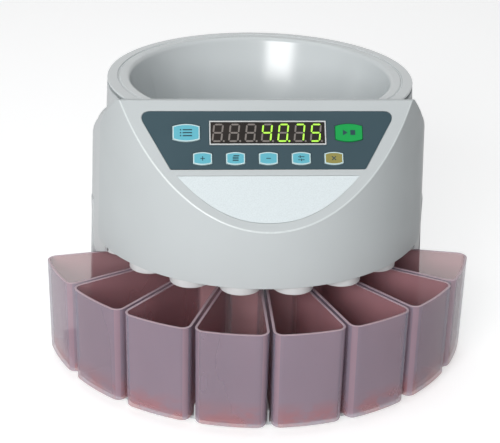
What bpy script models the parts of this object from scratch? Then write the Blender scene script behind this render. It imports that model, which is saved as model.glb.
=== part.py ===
"""Coin counter: a hopper over a sorting head, with eight lift-out coin cups in a fan round its column.

Metres, +Z up, the front towards -Y. The origin is on the table, under the middle of the whole object.
The round stack of hopper, disc and cups has its own vertical axis, a little behind the origin.
"""

import math

import bmesh
import bpy
from mathutils import Matrix, Vector

MM = 0.001

# General sizes
GAP = 0.3 * MM
OVERRUN = 4.0 * MM
MERGE = 0.01 * MM
WALL = 2.5 * MM
ROUND_STEPS = 48
INNER_ROUND_STEPS = 32
SMALL_ROUND_STEPS = 16

# Coin cups
CUP_COUNT = 8
CUP_PITCH = 19.5
CUP_OUTER_RADIUS = 177.5 * MM
CUP_INNER_RADIUS = 79.0 * MM
CUP_HEIGHT = 80.0 * MM
CUP_WALL = 2.0 * MM
CUP_SIDE_CLEARANCE = 1.2 * MM
CUP_CORNER_RADIUS = 7.0 * MM
CUP_INNER_CORNER_RADIUS = 3.0 * MM
CUP_DRAFT = 0.6 * MM

# Base and feet
FOOT_HEIGHT = 3.0 * MM
FOOT_RADIUS = 9.0 * MM
FOOT_X = 104.0 * MM
FOOT_FRONT_Y = 100.0 * MM
FOOT_REAR_Y = 112.0 * MM
PLATE_THICKNESS = 2.7 * MM
PLATE_FAN_INSET = 11.9 * MM
RIB_THICKNESS = 1.4 * MM
RIB_HEIGHT = 10.0 * MM
RIB_SETBACK = 5.0 * MM

# Housings
BODY_BASE_RADIUS = 141.3 * MM
REAR_REACH = 152.5 * MM
REAR_CORNER_RADIUS = 62.0 * MM
DRAFT_SLOPE = 0.037
HEAD_CLEARANCE = 18.0 * MM
HEAD_CORNER_RADIUS = 26.0 * MM
COLUMN_CLEARANCE = 3.0 * MM
CUP_SECTOR_HALF_ANGLE = 79.6
BROW_FRONT_Y = 57.0 * MM
BROW_CLEARANCE = 3.0 * MM
BROW_WALL = 2.0 * MM
BROW_RISE_Y = 36.0 * MM
BROW_RISE_SLOPE = 0.46
SEAM_Y = 43.0 * MM
SEAM_CORNER_RADIUS = 8.0 * MM
PARTING_FRONT_Y = 49.5 * MM
SHOULDER_FOOT_HEIGHT = 49.2 * MM
SHOULDER_RADIUS = 13.0 * MM
SHOULDER_SWEEP = 62.0
SHOULDER_STEPS = 3
DECK_SLOPE = 0.6
DECK_LEVEL_Y = 40.0 * MM
NECK_FLARE = 1.5 * MM
BOSS_RADIUS = 5.0 * MM
BOSS_HEIGHT = 14.0 * MM
SCREW_RADIUS = 1.5 * MM
SCREW_HEAD_RADIUS = 3.2 * MM
SCREW_HEAD_HEIGHT = 1.4 * MM
SCREW_LENGTH = 9.0 * MM
BOSS_FRONT_Y = 4.0 * MM
BOSS_REAR_ANGLE = 75.0

# Operator face: a flat slope that cuts the round head
FACE_ANGLE = 52.4
FACE_TOP_HEIGHT = 127.0 * MM
FACE_TOP_Y = 73.3 * MM
COVER_EDGE_STEP_1 = (64.0 * MM, 121.0 * MM)
COVER_EDGE_STEP_2 = (51.0 * MM, 108.5 * MM)
COVER_EDGE_STEP_3 = (43.0 * MM, 98.0 * MM)
CORNER_DECK_HEIGHT = 96.0 * MM
CORNER_DECK_INSET = 7.8 * MM

# Overlay, plate, display and keys, placed by x and by distance down the slope
RECESS_DEPTH = 1.0 * MM
SKIN_PROUD = 0.1 * MM
OVERLAY_TOP = 8.7 * MM
OVERLAY_BOTTOM = 54.1 * MM
OVERLAY_TOP_HALF_WIDTH = 98.1 * MM
OVERLAY_BOTTOM_HALF_WIDTH = 72.9 * MM
OVERLAY_CORNER_RADIUS = 6.0 * MM
OVERLAY_FOOT_RADIUS = 1.5 * MM
PLATE_TOP = 59.3 * MM
PLATE_BOTTOM = 95.5 * MM
PLATE_HALF_WIDTH = 68.3 * MM
PLATE_CURVE_POWER = 2.2
DISPLAY_CENTRE = 25.7 * MM
DISPLAY_WIDTH = 88.4 * MM
DISPLAY_HEIGHT = 19.4 * MM
DISPLAY_FRAME_WIDTH = 1.2 * MM
DISPLAY_PROUD = 0.9 * MM
WINDOW_THICKNESS = 1.4 * MM
LARGE_KEY_X = 61.2 * MM
LARGE_KEY_CENTRE = 25.7 * MM
LARGE_KEY_WIDTH = 20.6 * MM
LARGE_KEY_HEIGHT = 14.0 * MM
SMALL_KEY_CENTRE = 45.8 * MM
SMALL_KEY_PITCH = 24.6 * MM
SMALL_KEY_WIDTH = 14.4 * MM
SMALL_KEY_HEIGHT = 10.2 * MM
KEY_END_SHARE = 0.74
KEY_PROUD = 0.9 * MM
KEY_TRAVEL = 0.8 * MM
KEY_FLANGE = 1.2 * MM
KEY_FLANGE_THICKNESS = 1.0 * MM
KEY_STEM_RADIUS = 2.0 * MM
KEY_SIDE_CLEARANCE = 0.35 * MM
SWITCH_SIZE = 6.0 * MM
SWITCH_HEIGHT = 1.6 * MM
BOARD_THICKNESS = 1.6 * MM
KEY_BOARD_DEPTH = 8.6 * MM
KEY_BOARD_MARGIN = 4.0 * MM

# Hopper
RIM_INSET = 19.0 * MM
RIM_HEIGHT = 124.6 * MM
RIM_EDGE_HEIGHT = 4.2 * MM
RIM_UNDERCUT = 1.8 * MM
RIM_ROUNDING = 1.2 * MM
RIM_SKIRT_DEPTH = 3.0 * MM
GROOVE_INSET = 8.7 * MM
GROOVE_WIDTH = 1.4 * MM
GROOVE_DEPTH = 1.2 * MM
BOWL_MOUTH_INSET = 18.3 * MM
BOWL_LIP_DROP = 3.0 * MM
BOWL_FLOOR_INSET = 5.5 * MM
BOWL_CHORD_Y = 62.5 * MM
RIM_CHORD_Y = 69.8 * MM

# Sorting mechanism
CHUTE_PLATE_THICKNESS = 2.5 * MM
CHUTE_PLATE_LIFT = 2.7 * MM
CHUTE_PLATE_LEDGE = 11.5 * MM
SPOUT_RADIUS = 16.0 * MM
SPOUT_WALL = 2.0 * MM
SPOUT_MARGIN = 6.9 * MM
SPOUT_LEAN = 6.9 * MM
SPOUT_DROP = 8.0 * MM
RING_HEIGHT = 43.0 * MM
RING_THICKNESS = 2.6 * MM
RING_INNER_MARGIN = 2.5 * MM
RING_OUTER_MARGIN = 3.5 * MM
SMALLEST_COIN_HOLE = 17.0 * MM
LARGEST_COIN_HOLE = 26.5 * MM
COIN_HOLE_LENGTH = 22.0 * MM
DISC_CLEARANCE = 1.5 * MM
DISC_THICKNESS = 3.0 * MM
DISC_HUB_RADIUS = 12.0 * MM
DISC_HUB_DEPTH = 1.0 * MM
DISC_BUMP_RADIUS = 5.0 * MM
DISC_BUMP_HEIGHT = 1.2 * MM
DISC_BUMP_CIRCLE = 60.0 * MM
DISC_BUMP_COUNT = 6
COIN_SLOT_HEIGHT = 3.2 * MM
SWEEPER_OVERLAP = 2.2 * MM
SWEEPER_COLLAR = 2.4 * MM
SWEEPER_REACH = 11.5 * MM
SWEEPER_VANE_WIDTH = 2.4 * MM
SWEEPER_VANE_COUNT = 8
SWEEPER_THICKNESS = 2.4 * MM
HUB_CAP_RADIUS = 22.0 * MM
HUB_CAP_HEIGHT = 13.0 * MM
POST_RADIUS = 3.0 * MM
RING_POST_INSET = 5.0 * MM
RING_POST_COUNT = 5
RING_POST_GAPS = 3
GEAR_PLATE_HEIGHT = 16.0 * MM
GEAR_PLATE_THICKNESS = 2.5 * MM
GEAR_PLATE_RADIUS = 80.0 * MM
GEAR_POST_INSET = 8.0 * MM
GEAR_POST_COUNT = 4
SHAFT_RADIUS = 4.0 * MM
SHAFT_TAIL = 5.0 * MM
BEARING_RADIUS = 13.0 * MM
BEARING_FLANGE_RADIUS = 22.0 * MM
BEARING_FLANGE_THICKNESS = 3.0 * MM
GEAR_MODULE = 1.6 * MM
DRIVE_GEAR_TEETH = 36
PINION_TEETH = 12
GEAR_THICKNESS = 4.5 * MM
TOOTH_ROOT_SHARE = 0.27
TOOTH_TIP_SHARE = 0.12
MOTOR_RADIUS = 19.0 * MM
MOTOR_LENGTH = 48.0 * MM
MOTOR_SHAFT_RADIUS = 2.5 * MM
SENSOR_BOARD_WIDTH = 13.8 * MM
SENSOR_SIZE = 4.0 * MM
SENSOR_HEIGHT = 7.0 * MM

# Electrics in the rear of the lower housing
STANDOFF_RADIUS = 3.0 * MM
STANDOFF_HEIGHT = 6.0 * MM
POWER_BOARD_X = 96.0 * MM
POWER_BOARD_Y = 70.0 * MM
POWER_BOARD_CENTRE_Y = 96.0 * MM
TRANSFORMER_X = 44.0 * MM
TRANSFORMER_Y = 38.0 * MM
TRANSFORMER_HEIGHT = 34.0 * MM
CORE_LIP = 4.0 * MM
REAR_PANEL_WIDTH = 104.0 * MM
REAR_PANEL_HEIGHT = 46.0 * MM
REAR_PANEL_CENTRE_Z = 54.0 * MM
REAR_PANEL_THICKNESS = 2.0 * MM
REAR_PANEL_LAND = 5.0 * MM
INLET_X = 24.0 * MM
INLET_WIDTH = 27.0 * MM
INLET_HEIGHT = 20.0 * MM
INLET_FLANGE = 3.0 * MM
INLET_FLANGE_THICKNESS = 1.6 * MM
INLET_DEPTH = 22.0 * MM
INLET_WALL = 2.0 * MM
INLET_SOCKET_DEPTH = 16.0 * MM
INLET_PIN_WIDTH = 2.0 * MM
INLET_PIN_THICKNESS = 4.0 * MM
INLET_PIN_PITCH = 7.0 * MM
INLET_PIN_DROP = 2.0 * MM
INLET_PIN_INSET = 3.0 * MM
INLET_PIN_SHARES = ((-1, -1), (0, 1), (1, -1))
SWITCH_X = 24.0 * MM
ROCKER_WIDTH = 12.0 * MM
ROCKER_HEIGHT = 22.0 * MM
ROCKER_PROUD = 1.0 * MM
ROCKER_DEPTH = 8.0 * MM
ROCKER_ANGLE = 8.0
ROCKER_HOUSING_WALL = 1.6 * MM
ROCKER_SIDE_CLEARANCE = 0.8 * MM
ROCKER_PIN_RADIUS = 1.2 * MM
ROCKER_PIN_CLEARANCE = 0.25 * MM

# Colours as they look on the object, with roughness and metallic values
BODY_LOOK = ((0.55, 0.59, 0.60), 0.38, 0.0)
BOWL_LOOK = ((0.53, 0.57, 0.59), 0.22, 0.0)
SPOUT_LOOK = ((0.78, 0.79, 0.80), 0.35, 0.0)
CUP_LOOK = ((0.30, 0.21, 0.26), 0.2, 0.0)
OVERLAY_LOOK = ((0.058, 0.098, 0.127), 0.5, 0.0)
TRIM_PLATE_LOOK = ((0.74, 0.77, 0.80), 0.35, 0.3)
FRAME_LOOK = ((0.62, 0.64, 0.65), 0.4, 0.0)
WINDOW_LOOK = ((0.02, 0.02, 0.02), 0.12, 0.0)
DIGIT_LOOK = ((0.05, 0.045, 0.04), 0.4, 0.0)
CYAN_KEY_LOOK = ((0.15, 0.60, 0.78), 0.4, 0.0)
GREEN_KEY_LOOK = ((0.02, 0.42, 0.10), 0.4, 0.0)
KHAKI_KEY_LOOK = ((0.32, 0.27, 0.09), 0.4, 0.0)
BOARD_LOOK = ((0.02, 0.16, 0.07), 0.5, 0.0)
STEEL_LOOK = ((0.55, 0.56, 0.57), 0.35, 1.0)
DARK_PLASTIC_LOOK = ((0.03, 0.03, 0.035), 0.5, 0.0)
GEAR_LOOK = ((0.80, 0.79, 0.72), 0.45, 0.0)
RUBBER_LOOK = ((0.02, 0.02, 0.02), 0.85, 0.0)
BRASS_LOOK = ((0.72, 0.53, 0.22), 0.35, 1.0)

# Radii that follow the cups and the body
PLATE_FAN_RADIUS = CUP_OUTER_RADIUS - PLATE_FAN_INSET
COLUMN_RADIUS = CUP_INNER_RADIUS - COLUMN_CLEARANCE
RIB_INNER_RADIUS = CUP_INNER_RADIUS + RIB_SETBACK
RIM_RADIUS = BODY_BASE_RADIUS - RIM_INSET
NECK_FOOT_RADIUS = RIM_RADIUS + NECK_FLARE
CORNER_DECK_INNER_RADIUS = NECK_FOOT_RADIUS - CORNER_DECK_INSET
GROOVE_RADIUS = RIM_RADIUS - GROOVE_INSET
BOWL_MOUTH_RADIUS = RIM_RADIUS - BOWL_MOUTH_INSET
SPOUT_CENTRE_RADIUS = BODY_BASE_RADIUS - SPOUT_RADIUS - SPOUT_MARGIN
SPOUT_TOP_CENTRE_RADIUS = SPOUT_CENTRE_RADIUS - SPOUT_LEAN
RING_INNER_RADIUS = SPOUT_TOP_CENTRE_RADIUS - SPOUT_RADIUS - RING_INNER_MARGIN
RING_OUTER_RADIUS = SPOUT_TOP_CENTRE_RADIUS + SPOUT_RADIUS + RING_OUTER_MARGIN
RING_POST_CIRCLE = RING_OUTER_RADIUS - RING_POST_INSET
DISC_RADIUS = RING_INNER_RADIUS - DISC_CLEARANCE
BOWL_FLOOR_RADIUS = DISC_RADIUS - BOWL_FLOOR_INSET
SWEEPER_INNER_RADIUS = DISC_RADIUS - SWEEPER_OVERLAP
SWEEPER_VANE_RADIUS = SPOUT_TOP_CENTRE_RADIUS + SWEEPER_REACH
CHUTE_PLATE_BORE = COLUMN_RADIUS - WALL - CHUTE_PLATE_LEDGE
GEAR_POST_CIRCLE = GEAR_PLATE_RADIUS - GEAR_POST_INSET
CUT_REACH = CUP_OUTER_RADIUS + REAR_REACH

# Heights of the stack, from the table up
PLATE_Z = FOOT_HEIGHT + GAP
FLOOR_Z = PLATE_Z + PLATE_THICKNESS + GAP
HEAD_Z = FLOOR_Z + CUP_HEIGHT + HEAD_CLEARANCE
PARTING_Z = HEAD_Z + HEAD_CORNER_RADIUS
CHUTE_PLATE_Z = HEAD_Z + CHUTE_PLATE_LIFT
CHUTE_PLATE_TOP = CHUTE_PLATE_Z + CHUTE_PLATE_THICKNESS
GEAR_PLATE_Z = HEAD_Z + GEAR_PLATE_HEIGHT
GEAR_PLATE_TOP = GEAR_PLATE_Z + GEAR_PLATE_THICKNESS
RING_Z = HEAD_Z + RING_HEIGHT
RING_TOP = RING_Z + RING_THICKNESS
DISC_TOP = RING_TOP + GAP
DISC_Z = DISC_TOP - DISC_THICKNESS
SWEEPER_Z = DISC_TOP + GAP
BOWL_Z = DISC_TOP + COIN_SLOT_HEIGHT
RIM_TOP = HEAD_Z + RIM_HEIGHT
RIM_EDGE_Z = RIM_TOP - RIM_EDGE_HEIGHT
NECK_TOP = RIM_EDGE_Z - GAP
GEAR_Z = DISC_Z - DISC_HUB_DEPTH - GAP - GEAR_THICKNESS
BEARING_TOP = GEAR_Z - GAP
BOARD_Z = FLOOR_Z + STANDOFF_HEIGHT
FACE_TOP_Z = HEAD_Z + FACE_TOP_HEIGHT


def polar(radius, angle):
    """A plan point at an angle in degrees from the front, positive towards +X."""
    turn = math.radians(angle)
    return (radius * math.sin(turn), -radius * math.cos(turn))


def arc(centre, radius, start, stop, steps):
    """Plan points on an arc about a centre; angles in degrees, anticlockwise from +X."""
    turns = [math.radians(start + (stop - start) * i / steps) for i in range(steps + 1)]
    return [(centre[0] + radius * math.cos(t), centre[1] + radius * math.sin(t)) for t in turns]


def rounded(points, radii, steps):
    """A polygon with each corner rounded to its own radius."""
    outline = []
    for index, corner in enumerate(points):
        here = Vector(corner)
        before = (Vector(points[index - 1]) - here).normalized()
        after = (Vector(points[(index + 1) % len(points)]) - here).normalized()
        half = before.angle(after) / 2
        reach = radii[index] / math.tan(half)
        middle = here + (before + after).normalized() * radii[index] / math.sin(half)
        first = here + before * reach - middle
        last = here + after * reach - middle
        sweep = first.angle_signed(last)
        for step in range(steps + 1):
            spoke = Matrix.Rotation(-sweep * step / steps, 2) @ first
            outline.append(tuple(middle + spoke))
    return outline


def rectangle(width, height, centre=(0, 0)):
    x, y = centre
    return [(x - width / 2, y - height / 2), (x + width / 2, y - height / 2),
            (x + width / 2, y + height / 2), (x - width / 2, y + height / 2)]


def circle(radius, steps, centre=(0, 0)):
    return arc(centre, radius, 0, 360, steps)[:-1]


def prism(points, low, high, shape=None):
    """A straight solid over a plan outline; it joins an existing shape if one is given."""
    shape = shape or bmesh.new()
    corners = [shape.verts.new((x, y, low)) for x, y in points]
    face = shape.faces.new(corners)
    lifted = bmesh.ops.extrude_face_region(shape, geom=[face])["geom"]
    moved = [part for part in lifted if isinstance(part, bmesh.types.BMVert)]
    bmesh.ops.translate(shape, verts=moved, vec=(0, 0, high - low))
    return shape


def side_prism(points, half_width):
    """A solid over a side outline of (y, z) points, from -half_width to half_width along X."""
    shape = prism(points, -half_width, half_width)
    turn = Matrix(((0, 0, 1, 0), (1, 0, 0, 0), (0, 1, 0, 0), (0, 0, 0, 1)))
    bmesh.ops.transform(shape, matrix=turn, verts=shape.verts)
    return shape


def loft(loops, ring=False):
    """A skin through outlines with as many points each, capped at both ends or closed as a ring."""
    shape = bmesh.new()
    rows = [[shape.verts.new(point) for point in loop] for loop in loops]
    pairs = list(zip(rows, rows[1:]))
    if ring:
        pairs.append((rows[-1], rows[0]))
    else:
        shape.faces.new(rows[0])
        shape.faces.new(rows[-1])
    for low, high in pairs:
        for corners in zip(low, low[1:] + low[:1], high[1:] + high[:1], high):
            shape.faces.new(corners)
    return shape


def revolve(profile, steps, closed=True, shape=None):
    """A solid of revolution about Z over (radius, height) points; an open profile ends on the axis."""
    shape = shape or bmesh.new()
    corners = [shape.verts.new((radius, 0, height)) for radius, height in profile]
    ends = corners[1:] + corners[:1] if closed else corners[1:]
    edges = [shape.edges.new(pair) for pair in zip(corners, ends)]
    bmesh.ops.spin(shape, geom=corners + edges, axis=(0, 0, 1), cent=(0, 0, 0),
                   angle=2 * math.pi, steps=steps, use_merge=True)
    bmesh.ops.remove_doubles(shape, verts=shape.verts, dist=MERGE)
    return shape


def at_height(points, height):
    return [(x, y, height) for x, y in points]


def material_for(name, look):
    colour, roughness, metallic = look
    finish = bpy.data.materials.new(f"{name}_finish")
    finish.use_nodes = True
    surface = finish.node_tree.nodes["Principled BSDF"]
    surface.inputs["Base Color"].default_value = (*colour, 1)
    surface.inputs["Roughness"].default_value = roughness
    surface.inputs["Metallic"].default_value = metallic
    return finish


def add_guide(name, shape, place=Matrix.Identity(4)):
    """A helper solid that cuts, joins or bounds a piece and isn't part of the object."""
    bmesh.ops.recalc_face_normals(shape, faces=shape.faces)
    mesh = bpy.data.meshes.new(name)
    shape.to_mesh(mesh)
    shape.free()
    item = bpy.data.objects.new(name, mesh)
    bpy.context.collection.objects.link(item)
    item.matrix_world = place
    item.hide_render = True
    item.display_type = "WIRE"
    return item


def add_piece(name, shape, look, place=Matrix.Identity(4)):
    item = add_guide(name, shape, place)
    item.hide_render = False
    item.display_type = "TEXTURED"
    item.data.materials.append(material_for(name, look))
    item.data.set_sharp_from_angle(angle=math.radians(30))
    return item


def combine(item, guide, operation):
    step = item.modifiers.new(f"{operation.lower()}_{guide.name}", "BOOLEAN")
    step.object = guide
    step.operation = operation
    step.solver = "EXACT"


def cup_outline(inset):
    """Plan of one cup about the stack axis, with its middle towards -Y."""
    half = math.radians(CUP_PITCH / 2)
    side = Vector((math.cos(half), math.sin(half)))
    along = Vector((math.sin(half), -math.cos(half)))
    clear = CUP_SIDE_CLEARANCE + inset
    outer = CUP_OUTER_RADIUS - inset
    corner = CUP_CORNER_RADIUS - inset / 2
    back = CUP_INNER_RADIUS + inset
    middle_reach = math.sqrt((outer - corner) ** 2 - (clear + corner) ** 2)
    middle = along * middle_reach - side * (clear + corner)
    start = math.degrees(math.atan2(side.y, side.x))
    stop = math.degrees(math.atan2(middle.y, middle.x))
    right = arc(middle, corner, start, stop, 4)
    front = math.radians(90 + stop)
    bulge = [(outer * math.sin(front * share), -outer * math.cos(front * share)) for share in (0.5, 0, -0.5)]
    left = [(-x, y) for x, y in reversed(right)]
    back_half = (back * math.sin(half) - clear) / math.cos(half)
    small = CUP_INNER_CORNER_RADIUS
    ends = rounded([(-back_half, -back), (back_half, -back), right[0], left[-1]], [small] * 4, 2)[:6]
    return ends + right + bulge + left


def front_reach():
    """How far the two middle cups reach in front of the stack axis."""
    half = math.radians(CUP_PITCH / 2)
    return max(x * math.sin(half) - y * math.cos(half) for x, y in cup_outline(0))


AXIS_Y = (front_reach() - REAR_REACH) / 2
STACK = Matrix.Translation((0, AXIS_Y, 0))
FACE_TURN = Matrix.Rotation(math.radians(FACE_ANGLE), 4, "X")
FACE = Matrix.Translation((0, AXIS_Y - FACE_TOP_Y, FACE_TOP_Z)) @ FACE_TURN


def on_stack(angle):
    """A place on the stack axis, turned by an angle in degrees from the front towards +X."""
    return STACK @ Matrix.Rotation(math.radians(angle), 4, "Z")


def on_face(x, down):
    """A place on the operator face, with local +Y up the slope and +Z out of it."""
    return FACE @ Matrix.Translation((x, -down, 0))


def station_angles():
    """Angles of the coin stations, one for each cup, from left to right."""
    first = -CUP_PITCH * (CUP_COUNT - 1) / 2
    return [first + CUP_PITCH * index for index in range(CUP_COUNT)]


def draft_at(height):
    return DRAFT_SLOPE * (height - FLOOR_Z)


def run(start, stop, steps):
    """Plan points along a straight run, without its last one."""
    return [tuple(Vector(start).lerp(Vector(stop), i / steps)) for i in range(steps)]


def rear_outline(inset, side_steps=1, back_steps=1):
    """Plan of the rear half: straight sides and a flat back, joined by large round corners."""
    corner = REAR_CORNER_RADIUS - inset
    corner_x = BODY_BASE_RADIUS - REAR_CORNER_RADIUS
    corner_y = REAR_REACH - REAR_CORNER_RADIUS
    right_corner = arc((corner_x, corner_y), corner, 0, 90, 8)
    left_corner = arc((-corner_x, corner_y), corner, 90, 180, 8)
    right = run((BODY_BASE_RADIUS - inset, 0), right_corner[0], side_steps)
    back = run(right_corner[-1], left_corner[0], back_steps)
    left = run(left_corner[-1], (inset - BODY_BASE_RADIUS, 0), side_steps)
    return right + right_corner[:-1] + back + left_corner[:-1] + left


def body_outline(inset):
    """Plan of the whole head: a round front and the rear half."""
    front = arc((0, 0), BODY_BASE_RADIUS - inset, 180, 360, ROUND_STEPS // 2)
    return rear_outline(inset, 5, 8) + front[:-1]


def lower_outline(inset):
    """Plan of the lower housing: the body without the sector that holds the cups, and the column."""
    column = COLUMN_RADIUS - inset
    radius = BODY_BASE_RADIUS - inset
    column_end = CUP_SECTOR_HALF_ANGLE + math.degrees(math.asin(inset / column))
    outer_end = CUP_SECTOR_HALF_ANGLE + math.degrees(math.asin(inset / radius))
    front = [polar(column, -column_end + 2 * column_end * i / 16) for i in range(17)]
    side = [polar(radius, outer_end), polar(radius, (outer_end + 90) / 2)]
    left = [(-x, y) for x, y in reversed(side)]
    return front + side + rear_outline(inset) + [(inset - BODY_BASE_RADIUS, 0)] + left


def deck_rise(y):
    """Extra height of the shoulder, which climbs from the level part of the deck to the seam."""
    return DECK_SLOPE * max(0, DECK_LEVEL_Y - max(y, -SEAM_Y - OVERRUN))


def shoulder_loops(wall):
    """Outlines of the rounded shoulder, for the outer skin or for the inner one."""
    foot = HEAD_Z + SHOULDER_FOOT_HEIGHT
    loops = []
    for step in range(SHOULDER_STEPS + 1):
        turn = math.radians(SHOULDER_SWEEP) * step / SHOULDER_STEPS
        height = foot - wall + math.sin(turn) * SHOULDER_RADIUS
        loop = []
        for place, (_, start_y) in enumerate(body_outline(0)):
            drawn = draft_at(foot + deck_rise(start_y)) + wall
            x, y = body_outline(drawn + (1 - math.cos(turn)) * SHOULDER_RADIUS)[place]
            loop.append((x, y, height + deck_rise(y)))
        loops.append(loop)
    return loops


def neck_loop(radius, height, sloped):
    """The body's outline drawn in to a circle, level or on the sloping deck."""
    loop = []
    for x, y in body_outline(0):
        scale = radius / math.hypot(x, y)
        rise = deck_rise(y * scale) if sloped else 0
        loop.append((x * scale, y * scale, height + rise))
    return loop


def seam_profile(offset):
    """Side outline behind the seam: the rounded top and bottom ends of the front cover's sides."""
    steps = [(-y + offset, HEAD_Z + height) for y, height in
             (COVER_EDGE_STEP_1, COVER_EDGE_STEP_2, COVER_EDGE_STEP_3)]
    corner = arc((-SEAM_Y - SEAM_CORNER_RADIUS + offset, HEAD_Z + SEAM_CORNER_RADIUS),
                 SEAM_CORNER_RADIUS, 0, -90, 4)
    return steps + corner


def parting_profile(offset, low, reach):
    """Side outline of the lower zone under the head, with the round corner of the head cut out."""
    corner = arc((-PARTING_FRONT_Y, PARTING_Z - offset), HEAD_CORNER_RADIUS, 0, -90, 6)
    start = (-reach, HEAD_Z - offset)
    return [(reach, low), (reach, PARTING_Z - offset)] + corner + [start, (-reach, low)]


def frustum(inset, low, high, steps):
    """The round front of the body between two heights, drawn in by the draft."""
    loops = [at_height(circle(BODY_BASE_RADIUS - draft_at(z) - inset, steps), z) for z in (low, high)]
    return loft(loops)


def face_point(depth, height):
    """The (y, z) point at a height on the operator face, or on a plane that deep below it."""
    slope = math.tan(math.radians(FACE_ANGLE))
    drop = FACE_TOP_Z - height - depth / math.cos(math.radians(FACE_ANGLE))
    return (-FACE_TOP_Y - drop / slope, height)


def overlay_outline(clearance):
    top = OVERLAY_TOP - clearance
    bottom = OVERLAY_BOTTOM + clearance
    wide = OVERLAY_TOP_HALF_WIDTH + clearance
    narrow = OVERLAY_BOTTOM_HALF_WIDTH + clearance
    radii = [OVERLAY_CORNER_RADIUS, OVERLAY_FOOT_RADIUS, OVERLAY_FOOT_RADIUS, OVERLAY_CORNER_RADIUS]
    return rounded([(-wide, -top), (-narrow, -bottom), (narrow, -bottom), (wide, -top)], radii, 4)


def trim_plate_outline(clearance):
    """A shield shape: straight on top, with one long curve below."""
    half = PLATE_HALF_WIDTH + clearance
    top = PLATE_TOP - clearance
    depth = PLATE_BOTTOM + clearance - top
    shares = [i / 10 for i in range(-10, 11)]
    return [(half * share, -top - depth * (1 - abs(share) ** PLATE_CURVE_POWER)) for share in shares]


def key_outline(width, height, clearance):
    """A barrel shape: straight ends, with the long sides arched."""
    half = width / 2 + clearance
    tall = height / 2 + clearance
    shares = [i / 3 for i in range(-3, 4)]
    lower = [(half * s, -tall * (1 - (1 - KEY_END_SHARE) * s ** 2)) for s in shares]
    return lower + [(x, -y) for x, y in reversed(lower)]


KEYS = [
    ("key_report", -LARGE_KEY_X, LARGE_KEY_CENTRE, LARGE_KEY_WIDTH, LARGE_KEY_HEIGHT, CYAN_KEY_LOOK),
    ("key_start", LARGE_KEY_X, LARGE_KEY_CENTRE, LARGE_KEY_WIDTH, LARGE_KEY_HEIGHT, GREEN_KEY_LOOK),
]
for key_index, key_name in enumerate(("key_plus", "key_batch", "key_minus", "key_set", "key_clear")):
    KEYS.append((key_name, SMALL_KEY_PITCH * (key_index - 2), SMALL_KEY_CENTRE, SMALL_KEY_WIDTH,
                 SMALL_KEY_HEIGHT, KHAKI_KEY_LOOK if key_name == "key_clear" else CYAN_KEY_LOOK))


def shifted(points, x, down):
    return [(px + x, py - down) for px, py in points]


def display_outline(margin):
    size = (DISPLAY_WIDTH + 2 * margin, DISPLAY_HEIGHT + 2 * margin)
    return rectangle(*size, (0, -DISPLAY_CENTRE))


def build_front_cover():
    """The barrel-shaped front of the head: a thin shell, open below and behind, with the face on top."""
    reach = CUT_REACH
    solid = frustum(0, HEAD_Z, FACE_TOP_Z + OVERRUN, ROUND_STEPS)
    cover = add_piece("front_cover", solid, BODY_LOOK, STACK)
    low = HEAD_Z - OVERRUN
    profile = [face_point(0, low), face_point(0, FACE_TOP_Z), face_point(WALL, FACE_TOP_Z)]
    profile += seam_profile(0) + [(-SEAM_Y - SEAM_CORNER_RADIUS, low)]
    combine(cover, add_guide("cover_side_shape", side_prism(profile, reach), STACK), "INTERSECT")
    core = add_guide("cover_core", frustum(WALL, low, FACE_TOP_Z + OVERRUN, ROUND_STEPS), STACK)
    under = [face_point(WALL, low - OVERRUN), face_point(WALL, FACE_TOP_Z + 2 * OVERRUN),
             (reach, FACE_TOP_Z + 2 * OVERRUN), (reach, low - OVERRUN)]
    combine(core, add_guide("cover_core_shape", side_prism(under, reach), STACK), "INTERSECT")
    combine(cover, core, "DIFFERENCE")
    combine(cover, add_guide("corner_decks", corner_decks(), STACK), "UNION")
    recesses = prism(overlay_outline(GAP), -RECESS_DEPTH, OVERRUN)
    prism(trim_plate_outline(GAP), -RECESS_DEPTH, OVERRUN, recesses)
    combine(cover, add_guide("face_recesses", recesses, FACE), "DIFFERENCE")
    combine(cover, add_guide("face_openings", face_openings(GAP), FACE), "DIFFERENCE")
    return cover


def corner_decks():
    """Two small shelves that close the corners between the cover's sides and the hopper."""
    height = HEAD_Z + CORNER_DECK_HEIGHT
    outer = BODY_BASE_RADIUS - draft_at(height) - WALL / 2
    shape = bmesh.new()
    for side in (-1, 1):
        spans = []
        for radius in (outer, CORNER_DECK_INNER_RADIUS):
            angles = [math.degrees(math.acos(y / radius)) for y in (FACE_TOP_Y, SEAM_Y)]
            spans.append([angles[0] + (angles[1] - angles[0]) * i / 4 for i in range(5)])
        points = [polar(outer, side * a) for a in spans[0]]
        points += [polar(CORNER_DECK_INNER_RADIUS, side * a) for a in reversed(spans[1])]
        prism(points, height - WALL, height, shape)
    return shape


def face_openings(clearance):
    """Through holes of the operator face: the display and the keys."""
    shape = prism(display_outline(clearance), -WALL - OVERRUN, OVERRUN)
    for _, x, down, width, height, _ in KEYS:
        outline = key_outline(width, height, KEY_SIDE_CLEARANCE + clearance)
        prism(shifted(outline, x, down), -WALL - OVERRUN, OVERRUN, shape)
    return shape


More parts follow.
